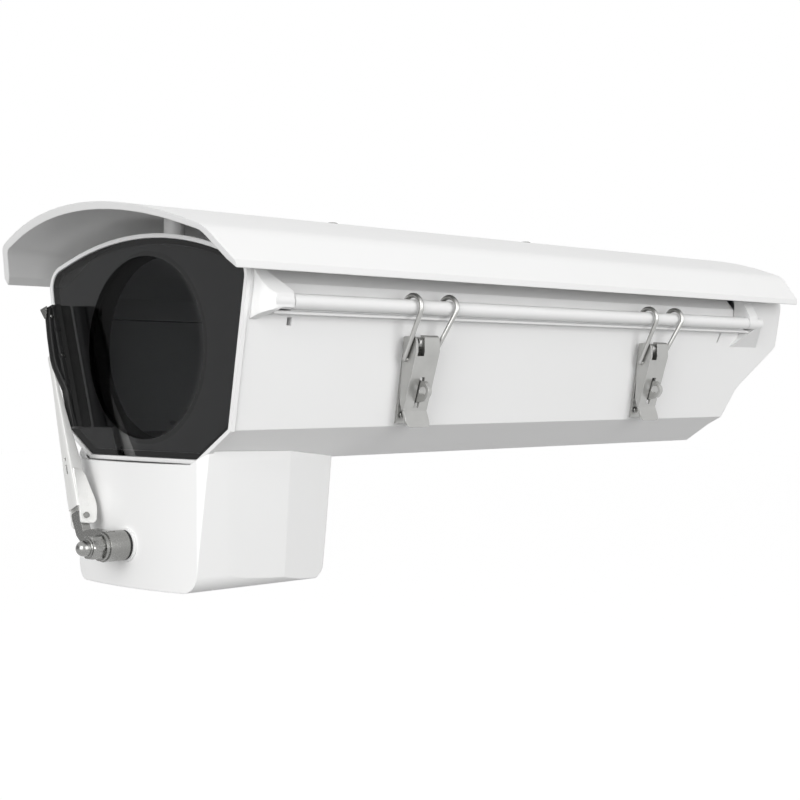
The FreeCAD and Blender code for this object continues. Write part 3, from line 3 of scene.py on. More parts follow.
import bmesh
import bpy
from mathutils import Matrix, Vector


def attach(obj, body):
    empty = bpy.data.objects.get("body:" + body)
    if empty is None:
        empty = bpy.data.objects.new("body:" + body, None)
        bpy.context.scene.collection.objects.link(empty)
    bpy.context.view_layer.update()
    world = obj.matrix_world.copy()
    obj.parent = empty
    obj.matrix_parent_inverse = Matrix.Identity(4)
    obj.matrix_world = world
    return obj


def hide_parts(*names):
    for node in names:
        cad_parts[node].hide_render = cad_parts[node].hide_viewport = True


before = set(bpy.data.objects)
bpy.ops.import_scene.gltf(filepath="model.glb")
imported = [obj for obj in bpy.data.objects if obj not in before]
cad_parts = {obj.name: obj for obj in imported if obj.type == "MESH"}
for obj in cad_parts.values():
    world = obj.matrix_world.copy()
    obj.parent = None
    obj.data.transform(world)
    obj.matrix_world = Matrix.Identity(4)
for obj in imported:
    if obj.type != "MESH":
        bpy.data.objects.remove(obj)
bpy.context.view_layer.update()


# Base casting, lid, sunshield and the wiper motor's cover: die-cast and pressed aluminium with
# a white polyester powder coat, which is baked on after the blanks are cast, trimmed and drilled.
# The coat is satin with a faint orange peel, and its gloss and tone waver with its thickness.
def linear(code):
    """An sRGB hex colour as the linear numbers that a shader takes."""
    parts = [int(code[i:i + 2], 16) / 255 for i in (1, 3, 5)]
    parts = [c / 12.92 if c <= 0.04045 else ((c + 0.055) / 1.055) ** 2.4 for c in parts]
    return (*parts, 1.0)


def fill(tree, node, inputs):
    """Fills a node's inputs. One given as (node, output) is linked, and any other is set."""
    for name, value in inputs.items():
        if isinstance(value, tuple) and hasattr(value[0], "outputs"):
            tree.links.new(value[0].outputs[value[1]], node.inputs[name])
        else:
            node.inputs[name].default_value = value


def put(tree, kind, inputs=None, **settings):
    """Adds a node with its settings and inputs."""
    made = tree.nodes.new(kind)
    for name, value in settings.items():
        setattr(made, name, value)
    fill(tree, made, inputs or {})
    return made


def new_material(name):
    """A material with its shader and output, and the object coordinates as (node, output)."""
    made = bpy.data.materials.new(name)
    made.use_nodes = True
    made.node_tree.nodes.clear()
    shader = put(made.node_tree, "ShaderNodeBsdfPrincipled")
    put(made.node_tree, "ShaderNodeOutputMaterial", {"Surface": (shader, "BSDF")})
    where = put(made.node_tree, "ShaderNodeTexCoord")
    return made, made.node_tree, shader, (where, "Object")


def noise(tree, place, swell, detail):
    """A cloudy pattern whose swells have one length."""
    pattern = {"Vector": place, "Scale": 1 / swell, "Detail": detail}
    return put(tree, "ShaderNodeTexNoise", pattern), 0


def two_tone(tree, pattern, dark, light):
    """A colour between two others, which are hex codes or other colours of the tree."""
    dark, light = (linear(tone) if isinstance(tone, str) else tone for tone in (dark, light))
    return put(tree, "ShaderNodeMix", {0: pattern, 6: dark, 7: light}, data_type="RGBA"), 2


def spread(tree, pattern, low, high):
    """A number that a pattern moves between two others."""
    return put(tree, "ShaderNodeMapRange", {"Value": pattern, "To Min": low, "To Max": high}), 0


def rounded(tree, radius, samples):
    """A normal that softens each edge."""
    return put(tree, "ShaderNodeBevel", {"Radius": radius}, samples=samples), 0


def grained(tree, pattern, strength, distance, **base):
    """A normal that a pattern roughens, over another one if Normal is given."""
    relief = {"Height": pattern, "Strength": strength, "Distance": distance}
    return put(tree, "ShaderNodeBump", relief | base), 0


def dress(material, *names):
    """Gives CAD nodes their real finish."""
    for name in names:
        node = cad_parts[name]
        node.data.materials.clear()
        node.data.materials.append(material)


PEEL = 0.0022        # one swell of the orange peel
CLOUD = 0.09         # from thicker to thinner coat

powder_coat, tree, shader, place = new_material("white_polyester_powder_coat")
clouds = noise(tree, place, CLOUD, 4.0)
peel = noise(tree, place, PEEL, 2.0)
fill(tree, shader, {
    "Base Color": two_tone(tree, clouds, "#f0f0ef", "#f4f4f4"),
    "Roughness": spread(tree, clouds, 0.36, 0.46),
    "Normal": grained(tree, peel, 0.06, 0.0004, Normal=rounded(tree, 0.0007, 4))})
dress(powder_coat, "base_casting", "lid", "sunshield", "motor_cover", "sunshield_spacers")


# Window: a 4 mm smoked and toughened pane, set in a rubber channel in the rim. An anti-glare
# coating covers only its round sight field, so its border mirrors the studio more. Behind it a
# black painted steel mask keeps stray light off the camera. A near-black ring round its sight
# is painted shade, standing in for the shadowed inner wall of the sight hole.
SIGHT_HEIGHT = 0.0516
SIGHT_RADIUS = 0.0422        # of the coated field
# The mask's ring of painted shade reaches out to this radius.
SIGHT_SHADE_RADIUS = 0.0445          # of the mask's dark ring
COATED_INDEX = 1.2
BARE_INDEX = 1.6


def off_sight(tree, place, radius):
    """One outside a circle about the window's sight, and zero within it."""
    centred = put(tree, "ShaderNodeVectorMath", {0: place, 1: (0.0, 0.0, -SIGHT_HEIGHT)})
    upright = put(tree, "ShaderNodeVectorMath", {0: (centred, 0), 1: (1.0, 0.0, 1.0)},
                  operation="MULTIPLY")
    away = put(tree, "ShaderNodeVectorMath", {0: (upright, 0)}, operation="LENGTH")
    return put(tree, "ShaderNodeMath", {0: (away, "Value"), 1: radius}, operation="GREATER_THAN"), 0


pane, tree, shader, place = new_material("smoked_coated_glass")
streaks = noise(tree, place, 0.05, 2.0)
fill(tree, shader, {
    "Base Color": linear("#8e8f91"),
    "Roughness": spread(tree, streaks, 0.0, 0.03),
    "Transmission Weight": 1.0,
    "IOR": spread(tree, off_sight(tree, place, SIGHT_RADIUS), COATED_INDEX, BARE_INDEX)})
dress(pane, "window_glass")

mask_paint, tree, shader, place = new_material("matt_black_steel_with_painted_shade")
grain = noise(tree, place, 0.0012, 3.0)
paint = two_tone(tree, grain, "#4c4c4c", "#545454")
fill(tree, shader, {
    # Painted shade: near black within the ring round the sight, where the hole's wall lies in
    # shadow.
    "Base Color": two_tone(tree, off_sight(tree, place, SIGHT_SHADE_RADIUS), "#080808", paint),
    "Roughness": 0.75,
    "Normal": grained(tree, grain, 0.2, 0.0001)})
dress(mask_paint, "window_mask")


# Seals: the pane's channel, the lid's cord, the wiper's rubber and the glands' rings are moulded
# or extruded EPDM rubber, pushed into their grooves. It is matt, with a faint grey bloom.
rubber, tree, shader, place = new_material("moulded_epdm_rubber")
bloom = noise(tree, place, 0.008, 5.0)
skin = noise(tree, place, 0.0006, 3.0)
fill(tree, shader, {
    "Base Color": two_tone(tree, bloom, "#161616", "#262626"),
    "Roughness": 0.62,
    "Normal": grained(tree, skin, 0.25, 0.0001)})
dress(rubber, "window_gasket", "lid_seal", "wiper_rubber", "gland_seals")


# Latches and hinges: 1.2 mm stainless steel sheet, pressed and folded, with drawn wire bails.
# Tumbling left a satin skin. Fine rolling lines show on the flats, and the folds catch the light.
stainless, tree, shader, place = new_material("satin_stainless_sheet")
stretch = put(tree, "ShaderNodeMapping", {"Vector": place, "Scale": (1.0, 1.0, 0.08)})
rolling = noise(tree, (stretch, "Vector"), 0.0004, 3.0)
blotch = noise(tree, place, 0.012, 3.0)
fill(tree, shader, {
    "Base Color": two_tone(tree, blotch, "#aaaaa8", "#bebebc"),
    "Roughness": spread(tree, rolling, 0.24, 0.38),
    "Metallic": 1.0,
    "Normal": grained(tree, rolling, 0.1, 0.00005, Normal=rounded(tree, 0.00025, 3))})
dress(stainless, "hinge_brackets", "hinge_pins", "front_latch_base", "rear_latch_base",
      "latch_pins", "latch_springs", "front_latch_bail", "rear_latch_bail", "motor_bracket",
      "wiper_motor")


# Latch levers: one pressing each, with two cheeks folded back from a front that rolls over the
# pivot at its top and ends in a finger tip. The roll is cut away beside the coil, and the front
# is slotted for the padlock ear. Corners are x, z and how far the rounding reaches.
LEVER_HALF = 0.008           # half of the lever's width
LEVER_WALL = 0.0012
EAR_SLOT = 0.0017            # half of the slot's width
COIL_CUT = -0.0024           # the roll starts here, beside the coil
FOLD_SINK = 0.00006          # the cheeks' outer faces lie this far inside the front's edges
FRONT_LOW, SLOT_LOW, SLOT_HIGH, FRONT_HIGH = 0.022, 0.0235, 0.038, 0.048
FRONT_FOOT, FRONT_LEAN = 0.0709, 0.3107
BACK_FOOT, BACK_LOW, BACK_LEAN = 0.06965, 0.0219, 0.3092
ROLL_START, ROLL_HIGH, ROLL_UNDER = 0.0768, 0.058, 0.057
LATCHES = (("front", -0.111), ("rear", 0.079))     # the end, and the lever's middle in y
FINGER_LOW, FINGER_HIGH, FINGER_LEAN, FINGER_CORNER = 0.0142, 0.0222, 0.34, 0.003


def softened(corners, steps=5):
    """A closed outline with its corners rounded: a corner is (a, b) or (a, b, reach)."""
    made = []
    for index, corner in enumerate(corners):
        here = Vector(corner[:2])
        if len(corner) < 3:
            made.append(here)
            continue
        ahead = Vector(corners[(index + 1) % len(corners)][:2])
        back = here + (Vector(corners[index - 1][:2]) - here).normalized() * corner[2]
        on = here + (ahead - here).normalized() * corner[2]
        for step in range(steps + 1):
            part = step / steps
            made.append(back * (1 - part) ** 2 + here * 2 * part * (1 - part) + on * part ** 2)
    return made


def slab(shape, outline, near, far, spot):
    """Adds a closed plate: the outline's a and b, and its depth, go through spot to a place."""
    ends = [[shape.verts.new(spot(a, b, depth)) for a, b in outline] for depth in (near, far)]
    shape.faces.new(ends[0])
    shape.faces.new(ends[1][::-1])
    for index in range(len(outline)):
        ahead = (index + 1) % len(outline)
        shape.faces.new((ends[0][index], ends[0][ahead], ends[1][ahead], ends[1][index]))


def along_side(x, z, y):
    """The place of an outline that is drawn across the housing and runs along its side."""
    return x, y, z


def finished(shape, name, material, sharp=30):
    """Turns the faces outward and makes the mesh a piece, smooth but for edges over an angle."""
    bmesh.ops.recalc_face_normals(shape, faces=shape.faces)
    mesh = bpy.data.meshes.new(name)
    shape.to_mesh(mesh)
    shape.free()
    mesh.shade_smooth()
    mesh.set_sharp_from_angle(angle=math.radians(sharp))
    mesh.materials.append(material)
    made = bpy.data.objects.new(name, mesh)
    bpy.context.collection.objects.link(made)
    return made


def front_x(z):
    """The front's outer face at a height."""
    return FRONT_FOOT + FRONT_LEAN * (z - FRONT_LOW)


def back_x(z):
    """The front's inner face at a height."""
    return BACK_FOOT + BACK_LEAN * (z - BACK_LOW)


def band(low, high):
    """The front's section between two heights."""
    return [(front_x(high), high), (front_x(low), low), (back_x(low), low), (back_x(high), high)]


outer_roll = softened([(ROLL_START, ROLL_HIGH), (0.0797, ROLL_HIGH, 0.0027), (0.0796, 0.05)])
inner_roll = softened([(0.0784, 0.0502), (0.0785, ROLL_UNDER, 0.0016), (ROLL_START, ROLL_UNDER)])
roll = (outer_roll + [(front_x(FRONT_HIGH), FRONT_HIGH), (back_x(FRONT_HIGH), FRONT_HIGH)]
        + inner_roll)
lever_cheek = softened([(FRONT_FOOT, 0.0574, 0.0008), (0.0795, 0.0578, 0.0042), (0.0795, 0.05),
                        (FRONT_FOOT, 0.0223), (0.0696, 0.0218), (0.0683, 0.0268, 0.0008)])
finger = softened([(-LEVER_HALF, FINGER_HIGH), (LEVER_HALF, FINGER_HIGH),
                   (LEVER_HALF, FINGER_LOW, FINGER_CORNER),
                   (-LEVER_HALF, FINGER_LOW, FINGER_CORNER)])
for end, middle in LATCHES:
    shape = bmesh.new()
    for outline, near, far in (
            (roll, COIL_CUT, LEVER_HALF),
            (band(SLOT_HIGH, FRONT_HIGH), -LEVER_HALF, LEVER_HALF),
            (band(SLOT_LOW, SLOT_HIGH), -LEVER_HALF, -EAR_SLOT),
            (band(SLOT_LOW, SLOT_HIGH), EAR_SLOT, LEVER_HALF),
            (band(FRONT_LOW, SLOT_LOW), -LEVER_HALF, LEVER_HALF),
            (lever_cheek, FOLD_SINK - LEVER_HALF, LEVER_WALL - LEVER_HALF),
            (lever_cheek, LEVER_HALF - LEVER_WALL, LEVER_HALF - FOLD_SINK)):
        slab(shape, outline, middle + near, middle + far, along_side)
    slab(shape, finger, 0, LEVER_WALL,
         lambda y, z, depth: (front_x(FRONT_LOW) + FINGER_LEAN * (FRONT_LOW - z) - depth,
                              middle + y, z))
    piece = finished(shape, f"{end}_pressed_lever", stainless)
    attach(piece, f"{end}_lever")
    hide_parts(f"{end}_latch_lever")


# Split line: a thin strip of pale closed-cell foam, cut from sheet and glued to the casting's
# ledge. It fills the gap under the lid's bead on the latch side.
STRIP_INNER, STRIP_OUTER = 0.0735, 0.0779
STRIP_LOW, STRIP_HIGH = 0.06693, 0.06742
STRIP_FRONT, STRIP_BACK = -0.197, 0.1685

foam, tree, shader, place = new_material("pale_foam_strip")
cells = noise(tree, place, 0.0005, 2.0)
fill(tree, shader, {"Base Color": two_tone(tree, cells, "#d8d8d8", "#e2e2e2"), "Roughness": 0.8})
shape = bmesh.new()
slab(shape, [(STRIP_INNER, STRIP_LOW), (STRIP_OUTER, STRIP_LOW), (STRIP_OUTER, STRIP_HIGH),
             (STRIP_INNER, STRIP_HIGH)], STRIP_FRONT, STRIP_BACK, along_side)
piece = finished(shape, "split_line_strip", foam)
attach(piece, "housing")


# Screws and rivets: turned stainless steel with a low domed head. The screws have a cross
# recess, and the rivets are closed over the sheet. All of one kind are driven in one row.
def new_tree(name, sizes, vectors=()):
    """A tree of geometry nodes with named inputs, and its first and last nodes."""
    made = bpy.data.node_groups.new(name, "GeometryNodeTree")
    made.interface.new_socket("Geometry", in_out="INPUT", socket_type="NodeSocketGeometry")
    made.interface.new_socket("Geometry", in_out="OUTPUT", socket_type="NodeSocketGeometry")
    for size in sizes:
        made.interface.new_socket(size, in_out="INPUT", socket_type="NodeSocketFloat")
    for size in vectors:
        made.interface.new_socket(size, in_out="INPUT", socket_type="NodeSocketVector")
    return made, put(made, "NodeGroupInput"), put(made, "NodeGroupOutput")


def close_tree(tree, last, out, material):
    """Ends a tree: instances become real, and the finish goes on."""
    real = put(tree, "GeometryNodeRealizeInstances", {"Geometry": (last, 0)})
    coated = put(tree, "GeometryNodeSetMaterial", {"Geometry": (real, 0), "Material": material})
    fill(tree, out, {0: (coated, 0)})


def run_tree(name, tree, points, sharp=35, **sizes):
    """Runs a tree on points and keeps what it makes as a plain mesh."""
    seeds = bpy.data.meshes.new(name + "_seeds")
    seeds.from_pydata(points, [], [])
    made = bpy.data.objects.new(name, seeds)
    bpy.context.collection.objects.link(made)
    modifier = made.modifiers.new("make", "NODES")
    modifier.node_group = tree
    for item in tree.interface.items_tree:
        if item.in_out == "INPUT" and item.name in sizes:
            modifier[item.identifier] = sizes[item.name]
    bpy.context.view_layer.update()
    seen_whole = made.evaluated_get(bpy.context.evaluated_depsgraph_get())
    mesh = bpy.data.meshes.new_from_object(seen_whole)
    made.modifiers.clear()
    made.data = mesh
    mesh.name = name
    mesh.shade_smooth()
    mesh.set_sharp_from_angle(angle=math.radians(sharp))
    return made


def like_boxes(node, count):
    """The boxes of a node's like solids, which stand in a row along y with gaps between them."""
    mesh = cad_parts[node].data
    spots = sorted((v.co.copy() for v in mesh.vertices), key=lambda v: v.y)
    groups = [[spots[0]]]
    widest_first = sorted(range(1, len(spots)), key=lambda i: spots[i - 1].y - spots[i].y)
    gaps = widest_first[:count - 1]
    for index in range(1, len(spots)):
        if index in gaps:
            groups.append([])
        groups[-1].append(spots[index])
    found = []
    for group in groups:
        low = Vector([min(v[i] for v in group) for i in range(3)])
        high = Vector([max(v[i] for v in group) for i in range(3)])
        found.append((low, high))
    return found


turned_steel, tree, shader, place = new_material("turned_stainless_steel")
rings = noise(tree, place, 0.0005, 2.0)
fill(tree, shader, {
    "Base Color": two_tone(tree, rings, "#8e8e8c", "#a0a09e"),
    "Roughness": spread(tree, rings, 0.2, 0.32),
    "Metallic": 1.0,
    "Normal": rounded(tree, 0.0003, 3)})
dress(turned_steel, "sunshield_nuts", "wiper_shaft", "wiper_head", "wiper_washer",
      "arm_hinge_pin", "blade_pin")

# Each head is a line swollen to a round, flattened dome, with a cross cut out of its top.
DOME_STEPS, DOME_SIDES, SHANK_SIDES = 12, 36, 24
DOME_FALL, DOME_ROUND = 4.0, 0.4     # powers: how late the dome falls, and how round it ends
DOME_TIP = 1.0002                    # a hair over one, so that the dome's end keeps a width
CROSS_WIDTH = 0.28                   # part of the cross's length
CROSS_DEPTH = 1.1                    # part of the head's height, half of it below the top

tree, given, out = new_tree("driven_heads", ("Radius", "Height", "Cross", "Shank", "Shank Radius"),
                            ("Turn",))
top = put(tree, "ShaderNodeCombineXYZ", {"Z": (given, "Height")})
axis = put(tree, "GeometryNodeCurvePrimitiveLine", {"End": (top, 0)})
steps = put(tree, "GeometryNodeResampleCurve", {"Curve": (axis, 0), "Count": DOME_STEPS})
along = put(tree, "GeometryNodeSplineParameter")
fall = put(tree, "ShaderNodeMath", {0: (along, "Factor"), 1: DOME_FALL}, operation="POWER")
left = put(tree, "ShaderNodeMath", {0: DOME_TIP, 1: (fall, 0)}, operation="SUBTRACT")
round_off = put(tree, "ShaderNodeMath", {0: (left, 0), 1: DOME_ROUND}, operation="POWER")
swell = put(tree, "ShaderNodeMath", {0: (round_off, 0), 1: (given, "Radius")},
            operation="MULTIPLY")
hoop = put(tree, "GeometryNodeCurvePrimitiveCircle", {"Resolution": DOME_SIDES, "Radius": 1.0})
dome = put(tree, "GeometryNodeCurveToMesh",
           {"Curve": (steps, 0), "Profile Curve": (hoop, 0), "Scale": (swell, 0),
            "Fill Caps": True})
broad = put(tree, "ShaderNodeMath", {0: (given, "Cross"), 1: CROSS_WIDTH}, operation="MULTIPLY")
deep = put(tree, "ShaderNodeMath", {0: (given, "Height"), 1: CROSS_DEPTH}, operation="MULTIPLY")
both = put(tree, "GeometryNodeMeshBoolean", operation="UNION")
for wide, narrow in (((given, "Cross"), (broad, 0)), ((broad, 0), (given, "Cross"))):
    size = put(tree, "ShaderNodeCombineXYZ", {"X": wide, "Y": narrow, "Z": (deep, 0)})
    wing = put(tree, "GeometryNodeMeshCube", {"Size": (size, 0)})
    fill(tree, both, {"Mesh 2": (wing, 0)})
lifted = put(tree, "GeometryNodeTransform", {"Geometry": (both, 0), "Translation": (top, 0)})
recessed = put(tree, "GeometryNodeMeshBoolean", {"Mesh 1": (dome, 0), "Mesh 2": (lifted, 0)},
               operation="DIFFERENCE")
half_shank = put(tree, "ShaderNodeMath", {0: (given, "Shank"), 1: -0.5}, operation="MULTIPLY")
down = put(tree, "ShaderNodeCombineXYZ", {"Z": (half_shank, 0)})
stem = put(tree, "GeometryNodeMeshCylinder",
           {"Vertices": SHANK_SIDES, "Radius": (given, "Shank Radius"), "Depth": (given, "Shank")})
stem = put(tree, "GeometryNodeTransform", {"Geometry": (stem, 0), "Translation": (down, 0)})
screw = put(tree, "GeometryNodeJoinGeometry", {0: (recessed, 0)})
fill(tree, screw, {0: (stem, 0)})
turned = put(tree, "FunctionNodeEulerToRotation", {0: (given, "Turn")})
driven = put(tree, "GeometryNodeInstanceOnPoints",
             {"Points": (given, "Geometry"), "Instance": (screw, 0), "Rotation": (turned, 0)})
close_tree(tree, driven, out, turned_steel)
head_tree = tree

hood_screws = like_boxes("sunshield_screws", 2)
head_height = 0.0022
piece = run_tree(
    "hood_screws", head_tree,
    [((low.x + high.x) / 2, (low.y + high.y) / 2, high.z - head_height)
     for low, high in hood_screws],
    **{"Radius": 0.0036, "Height": head_height, "Cross": 0.0042, "Shank Radius": 0.002,
       "Shank": hood_screws[0][1].z - head_height - hood_screws[0][0].z, "Turn": (0.0, 0.0, 0.5)})
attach(piece, "lid")
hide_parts("sunshield_screws")

hinge_screws = like_boxes("hinge_screws", 4)
piece = run_tree(
    "hinge_heads", head_tree,
    [(high.x, (low.y + high.y) / 2, (low.z + high.z) / 2) for low, high in hinge_screws],
    **{"Radius": 0.003, "Height": hinge_screws[0][1].x - hinge_screws[0][0].x, "Cross": 0.0034,
       "Shank": 0.0001, "Shank Radius": 0.0015, "Turn": (0.0, -math.pi / 2, 0.0)})
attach(piece, "housing")
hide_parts("hinge_screws")

rivets = like_boxes("latch_rivets", 4)
piece = run_tree(
    "latch_rivet_heads", head_tree,
    [(low.x, (low.y + high.y) / 2, (low.z + high.z) / 2) for low, high in rivets],
    **{"Radius": 0.0018, "Height": rivets[0][1].x - rivets[0][0].x, "Cross": 0.0007,
       "Shank": 0.0001, "Shank Radius": 0.001, "Turn": (0.0, math.pi / 2, 0.0)})
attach(piece, "housing")
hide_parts("latch_rivets")

tray_rows = like_boxes("tray_screws", 2)
tray_head = 0.003
spots = []
for low, high in tray_rows:
    spots += [(x, (low.y + high.y) / 2, low.z) for x in (low.x + tray_head, high.x - tray_head)]
piece = run_tree(
    "tray_heads", head_tree, spots,
    **{"Radius": tray_head, "Height": tray_rows[0][1].z - tray_rows[0][0].z, "Cross": 0.0034,
       "Shank": 0.0001, "Shank Radius": 0.0015, "Turn": (0.0, 0.0, 0.6)})
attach(piece, "housing")
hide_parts("tray_screws")


# Wiper arm: a 1 mm stainless channel, folded and then brushed along its length, so its flat back
# is the brightest metal of the whole product. Two slots are punched in the back, and two deeper
# cheeks at its foot carry the hinge pin.
ARM_FOOT = Vector((-0.0222, -0.2409, -0.027))
ARM_TIP = Vector((-0.056, -0.2319, 0.048))
ARM_LENGTH = (ARM_TIP - ARM_FOOT).length
ARM_SHEET = 0.001
ARM_BEND = 0.0011                            # reach of the folds
SLOT_HALF = 0.00065
SLOTS = ((0.0219, 0.0265), (0.0286, 0.03))   # from and to, along the arm
CHEEK_NEAR, CHEEK_FAR = 0.00322, 0.00425     # a cheek's inner and outer face
along = (ARM_TIP - ARM_FOOT).normalized()
across = Vector((along.z, 0, -along.x)).normalized()
inward = along.cross(across)


def by_arm(x, y, z):
    """A place from its distances across, into and along the arm."""
    return ARM_FOOT + across * x + inward * y + along * z


brushed_arm, tree, shader, place = new_material("brushed_stainless_channel")
stretch = put(tree, "ShaderNodeMapping", {"Vector": place, "Rotation": (0.0, -0.42, 0.0),
                                          "Scale": (1.0, 1.0, 0.05)})
brushing = noise(tree, (stretch, "Vector"), 0.0005, 3.0)
fill(tree, shader, {
    "Base Color": two_tone(tree, brushing, "#ececea", "#f6f6f4"),
    "Roughness": 0.36,
    "Metallic": 0.35,        # the brushing scatters most of the light, as a pale coat would
    "Normal": rounded(tree, 0.0004, 4)})

# Stations are the distance along the arm, half of its width and its depth.
stations = [(0.005, 0.0042, 0.006), (0.012, 0.0042, 0.0062), (0.0219, 0.0038, 0.0062),
            (0.0265, 0.0036, 0.0061), (0.0286, 0.0035, 0.0061), (0.03, 0.0034, 0.006),
            (0.037, 0.0032, 0.005), (0.0497, 0.0027, 0.0034), (0.0662, 0.0019, 0.0017),
            (0.077, 0.0019, 0.0036), (ARM_LENGTH, 0.0022, 0.0036)]
shape = bmesh.new()
sections = []
for z, half, depth in stations:
    inner = half - ARM_SHEET
    line = [(-half, depth), (-half, ARM_BEND), (-half + 0.3 * ARM_BEND, 0.3 * ARM_BEND),
            (-half + ARM_BEND, 0), (-SLOT_HALF, 0), (SLOT_HALF, 0), (half - ARM_BEND, 0),
            (half - 0.3 * ARM_BEND, 0.3 * ARM_BEND), (half, ARM_BEND), (half, depth),
            (inner, depth), (inner, ARM_SHEET), (SLOT_HALF, ARM_SHEET), (-SLOT_HALF, ARM_SHEET),
            (-inner, ARM_SHEET), (-inner, depth)]
    sections.append([shape.verts.new(by_arm(x, y, z)) for x, y in line])

# Between the stations of a slot the back's middle face is left out, outside and inside, and
# four walls close the hole. These are the slot's corners in a section.
OUT_LEFT, OUT_RIGHT, IN_RIGHT, IN_LEFT = 4, 5, 12, 13
for (here, ahead), (start, stop) in zip(zip(sections, sections[1:]), zip(stations, stations[1:])):
    slotted = (start[0], stop[0]) in SLOTS
    for index in range(len(here)):
        if slotted and index in (OUT_LEFT, IN_RIGHT):
            continue
        after = (index + 1) % len(here)
        shape.faces.new((here[index], here[after], ahead[after], ahead[index]))
    if slotted:
        shape.faces.new((here[OUT_RIGHT], ahead[OUT_RIGHT], ahead[IN_RIGHT], here[IN_RIGHT]))
        shape.faces.new((here[OUT_LEFT], here[IN_LEFT], ahead[IN_LEFT], ahead[OUT_LEFT]))
        shape.faces.new((here[OUT_LEFT], here[OUT_RIGHT], here[IN_RIGHT], here[IN_LEFT]))
        shape.faces.new((ahead[OUT_LEFT], ahead[IN_LEFT], ahead[IN_RIGHT], ahead[OUT_RIGHT]))
shape.faces.new(sections[0])
shape.faces.new(sections[-1][::-1])
arm_cheek = softened([(0.0006, -0.0036, 0.002), (0.0088, -0.0036, 0.003), (0.0108, 0.006, 0.003),
                      (0.0061, 0.0235, 0.004), (0.0011, 0.0235), (0.0011, 0.005)])
for side in (-1, 1):
    slab(shape, arm_cheek, side * CHEEK_NEAR, side * CHEEK_FAR,
         lambda a, b, depth: by_arm(depth, a, b))
piece = finished(shape, "folded_wiper_arm", brushed_arm)
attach(piece, "wiper_arm")
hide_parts("wiper_arm")


# Arm spring: hard stainless wire, close-wound, with a hook bent at each end. It lies inside the
# channel and pulls the arm down on its hinge pin.
COIL_START, COIL_END = 0.0188, 0.0352
COIL_DEPTH, COIL_RADIUS, WIRE_RADIUS = 0.0034, 0.00132, 0.00034
TURNS, TURN_STEPS = 22, 16

wire_line = bpy.data.curves.new("arm_spring_line", "CURVE")
wire_line.dimensions = "3D"
wire_line.bevel_depth = WIRE_RADIUS
wire_line.bevel_resolution = 3
route = [(0.0, 0.0, 0.0174), (0.0, -COIL_RADIUS, 0.0178), (0.0, -COIL_RADIUS, 0.0184)]
for step in range(TURNS * TURN_STEPS + 1):
    angle = 2 * math.pi * step / TURN_STEPS - math.pi / 2
    route.append((COIL_RADIUS * math.cos(angle), COIL_RADIUS * math.sin(angle),
                  COIL_START + (COIL_END - COIL_START) * step / (TURNS * TURN_STEPS)))
route += [(0.0, -COIL_RADIUS, 0.0356), (0.0, -COIL_RADIUS, 0.0362), (0.0, 0.0, 0.0366)]
spline = wire_line.splines.new("POLY")
spline.points.add(len(route) - 1)
for point, (x, y, z) in zip(spline.points, route):
    point.co = (*by_arm(x, COIL_DEPTH + y, z), 1.0)
coil = bpy.data.objects.new("arm_spring_coil", wire_line)
bpy.context.collection.objects.link(coil)
bpy.context.view_layer.update()
coil_whole = coil.evaluated_get(bpy.context.evaluated_depsgraph_get())
coil_mesh = bpy.data.meshes.new_from_object(coil_whole)
bpy.data.objects.remove(coil)
coil_mesh.materials.clear()
coil_mesh.materials.append(turned_steel)
coil_mesh.shade_smooth()
piece = bpy.data.objects.new("arm_spring_coil", coil_mesh)
bpy.context.collection.objects.link(piece)
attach(piece, "wiper_arm")
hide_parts("arm_spring")


# Cap nut: turned from hexagon bar, with its corners chamfered at both ends and a domed cap over
# the thread. It holds the arm's head on the shaft.
NUT_FLATS, NUT_CORNER, NUT_CHAMFER = 0.010, 0.0058, 0.0005
CAP_RADIUS, CAP_FILLET, HEX_DEPTH = 0.0036, 0.0003, 0.0062
NUT_STEPS, CAP_STEPS = 72, 8
(nut_low, nut_high), = like_boxes("wiper_nut", 1)
nut_x, nut_z = (nut_low.x + nut_high.x) / 2, (nut_low.z + nut_high.z) / 2
cap_start = nut_low.y + CAP_RADIUS
hex_start = nut_high.y - HEX_DEPTH

# Rings are a place along the shaft and a radius, which the six flats cut where it is larger.
rings = [(nut_high.y, NUT_FLATS * 0.47), (nut_high.y, NUT_FLATS * 0.5),
         (nut_high.y - NUT_CHAMFER, NUT_CORNER), (hex_start + 0.0006, NUT_CORNER),
         (hex_start, NUT_FLATS * 0.49), (hex_start, CAP_RADIUS + CAP_FILLET),
         (hex_start - CAP_FILLET, CAP_RADIUS), (cap_start, CAP_RADIUS)]
for step in range(1, CAP_STEPS):
    angle = math.radians(90 * step / CAP_STEPS)
    rings.append((cap_start - CAP_RADIUS * math.sin(angle), CAP_RADIUS * math.cos(angle)))
shape = bmesh.new()
loops = []
for y, limit in rings:
    loop = []
    for step in range(NUT_STEPS):
        angle = 2 * math.pi * step / NUT_STEPS
        flat = (angle + math.pi / 6) % (math.pi / 3) - math.pi / 6
        reach = min(limit, NUT_FLATS / 2 / math.cos(flat))
        loop.append(shape.verts.new((nut_x + reach * math.sin(angle), y,
                                     nut_z + reach * math.cos(angle))))
    loops.append(loop)
for near, far in zip(loops, loops[1:]):
    for step in range(NUT_STEPS):
        ahead = (step + 1) % NUT_STEPS
        shape.faces.new((near[step], near[ahead], far[ahead], far[step]))
shape.faces.new(loops[0])
pole = shape.verts.new((nut_x, nut_low.y, nut_z))
for step in range(NUT_STEPS):
    shape.faces.new((loops[-1][step], loops[-1][(step + 1) % NUT_STEPS], pole))
piece = finished(shape, "cap_nut", turned_steel, sharp=20)
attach(piece, "wiper_drive")
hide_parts("wiper_nut")


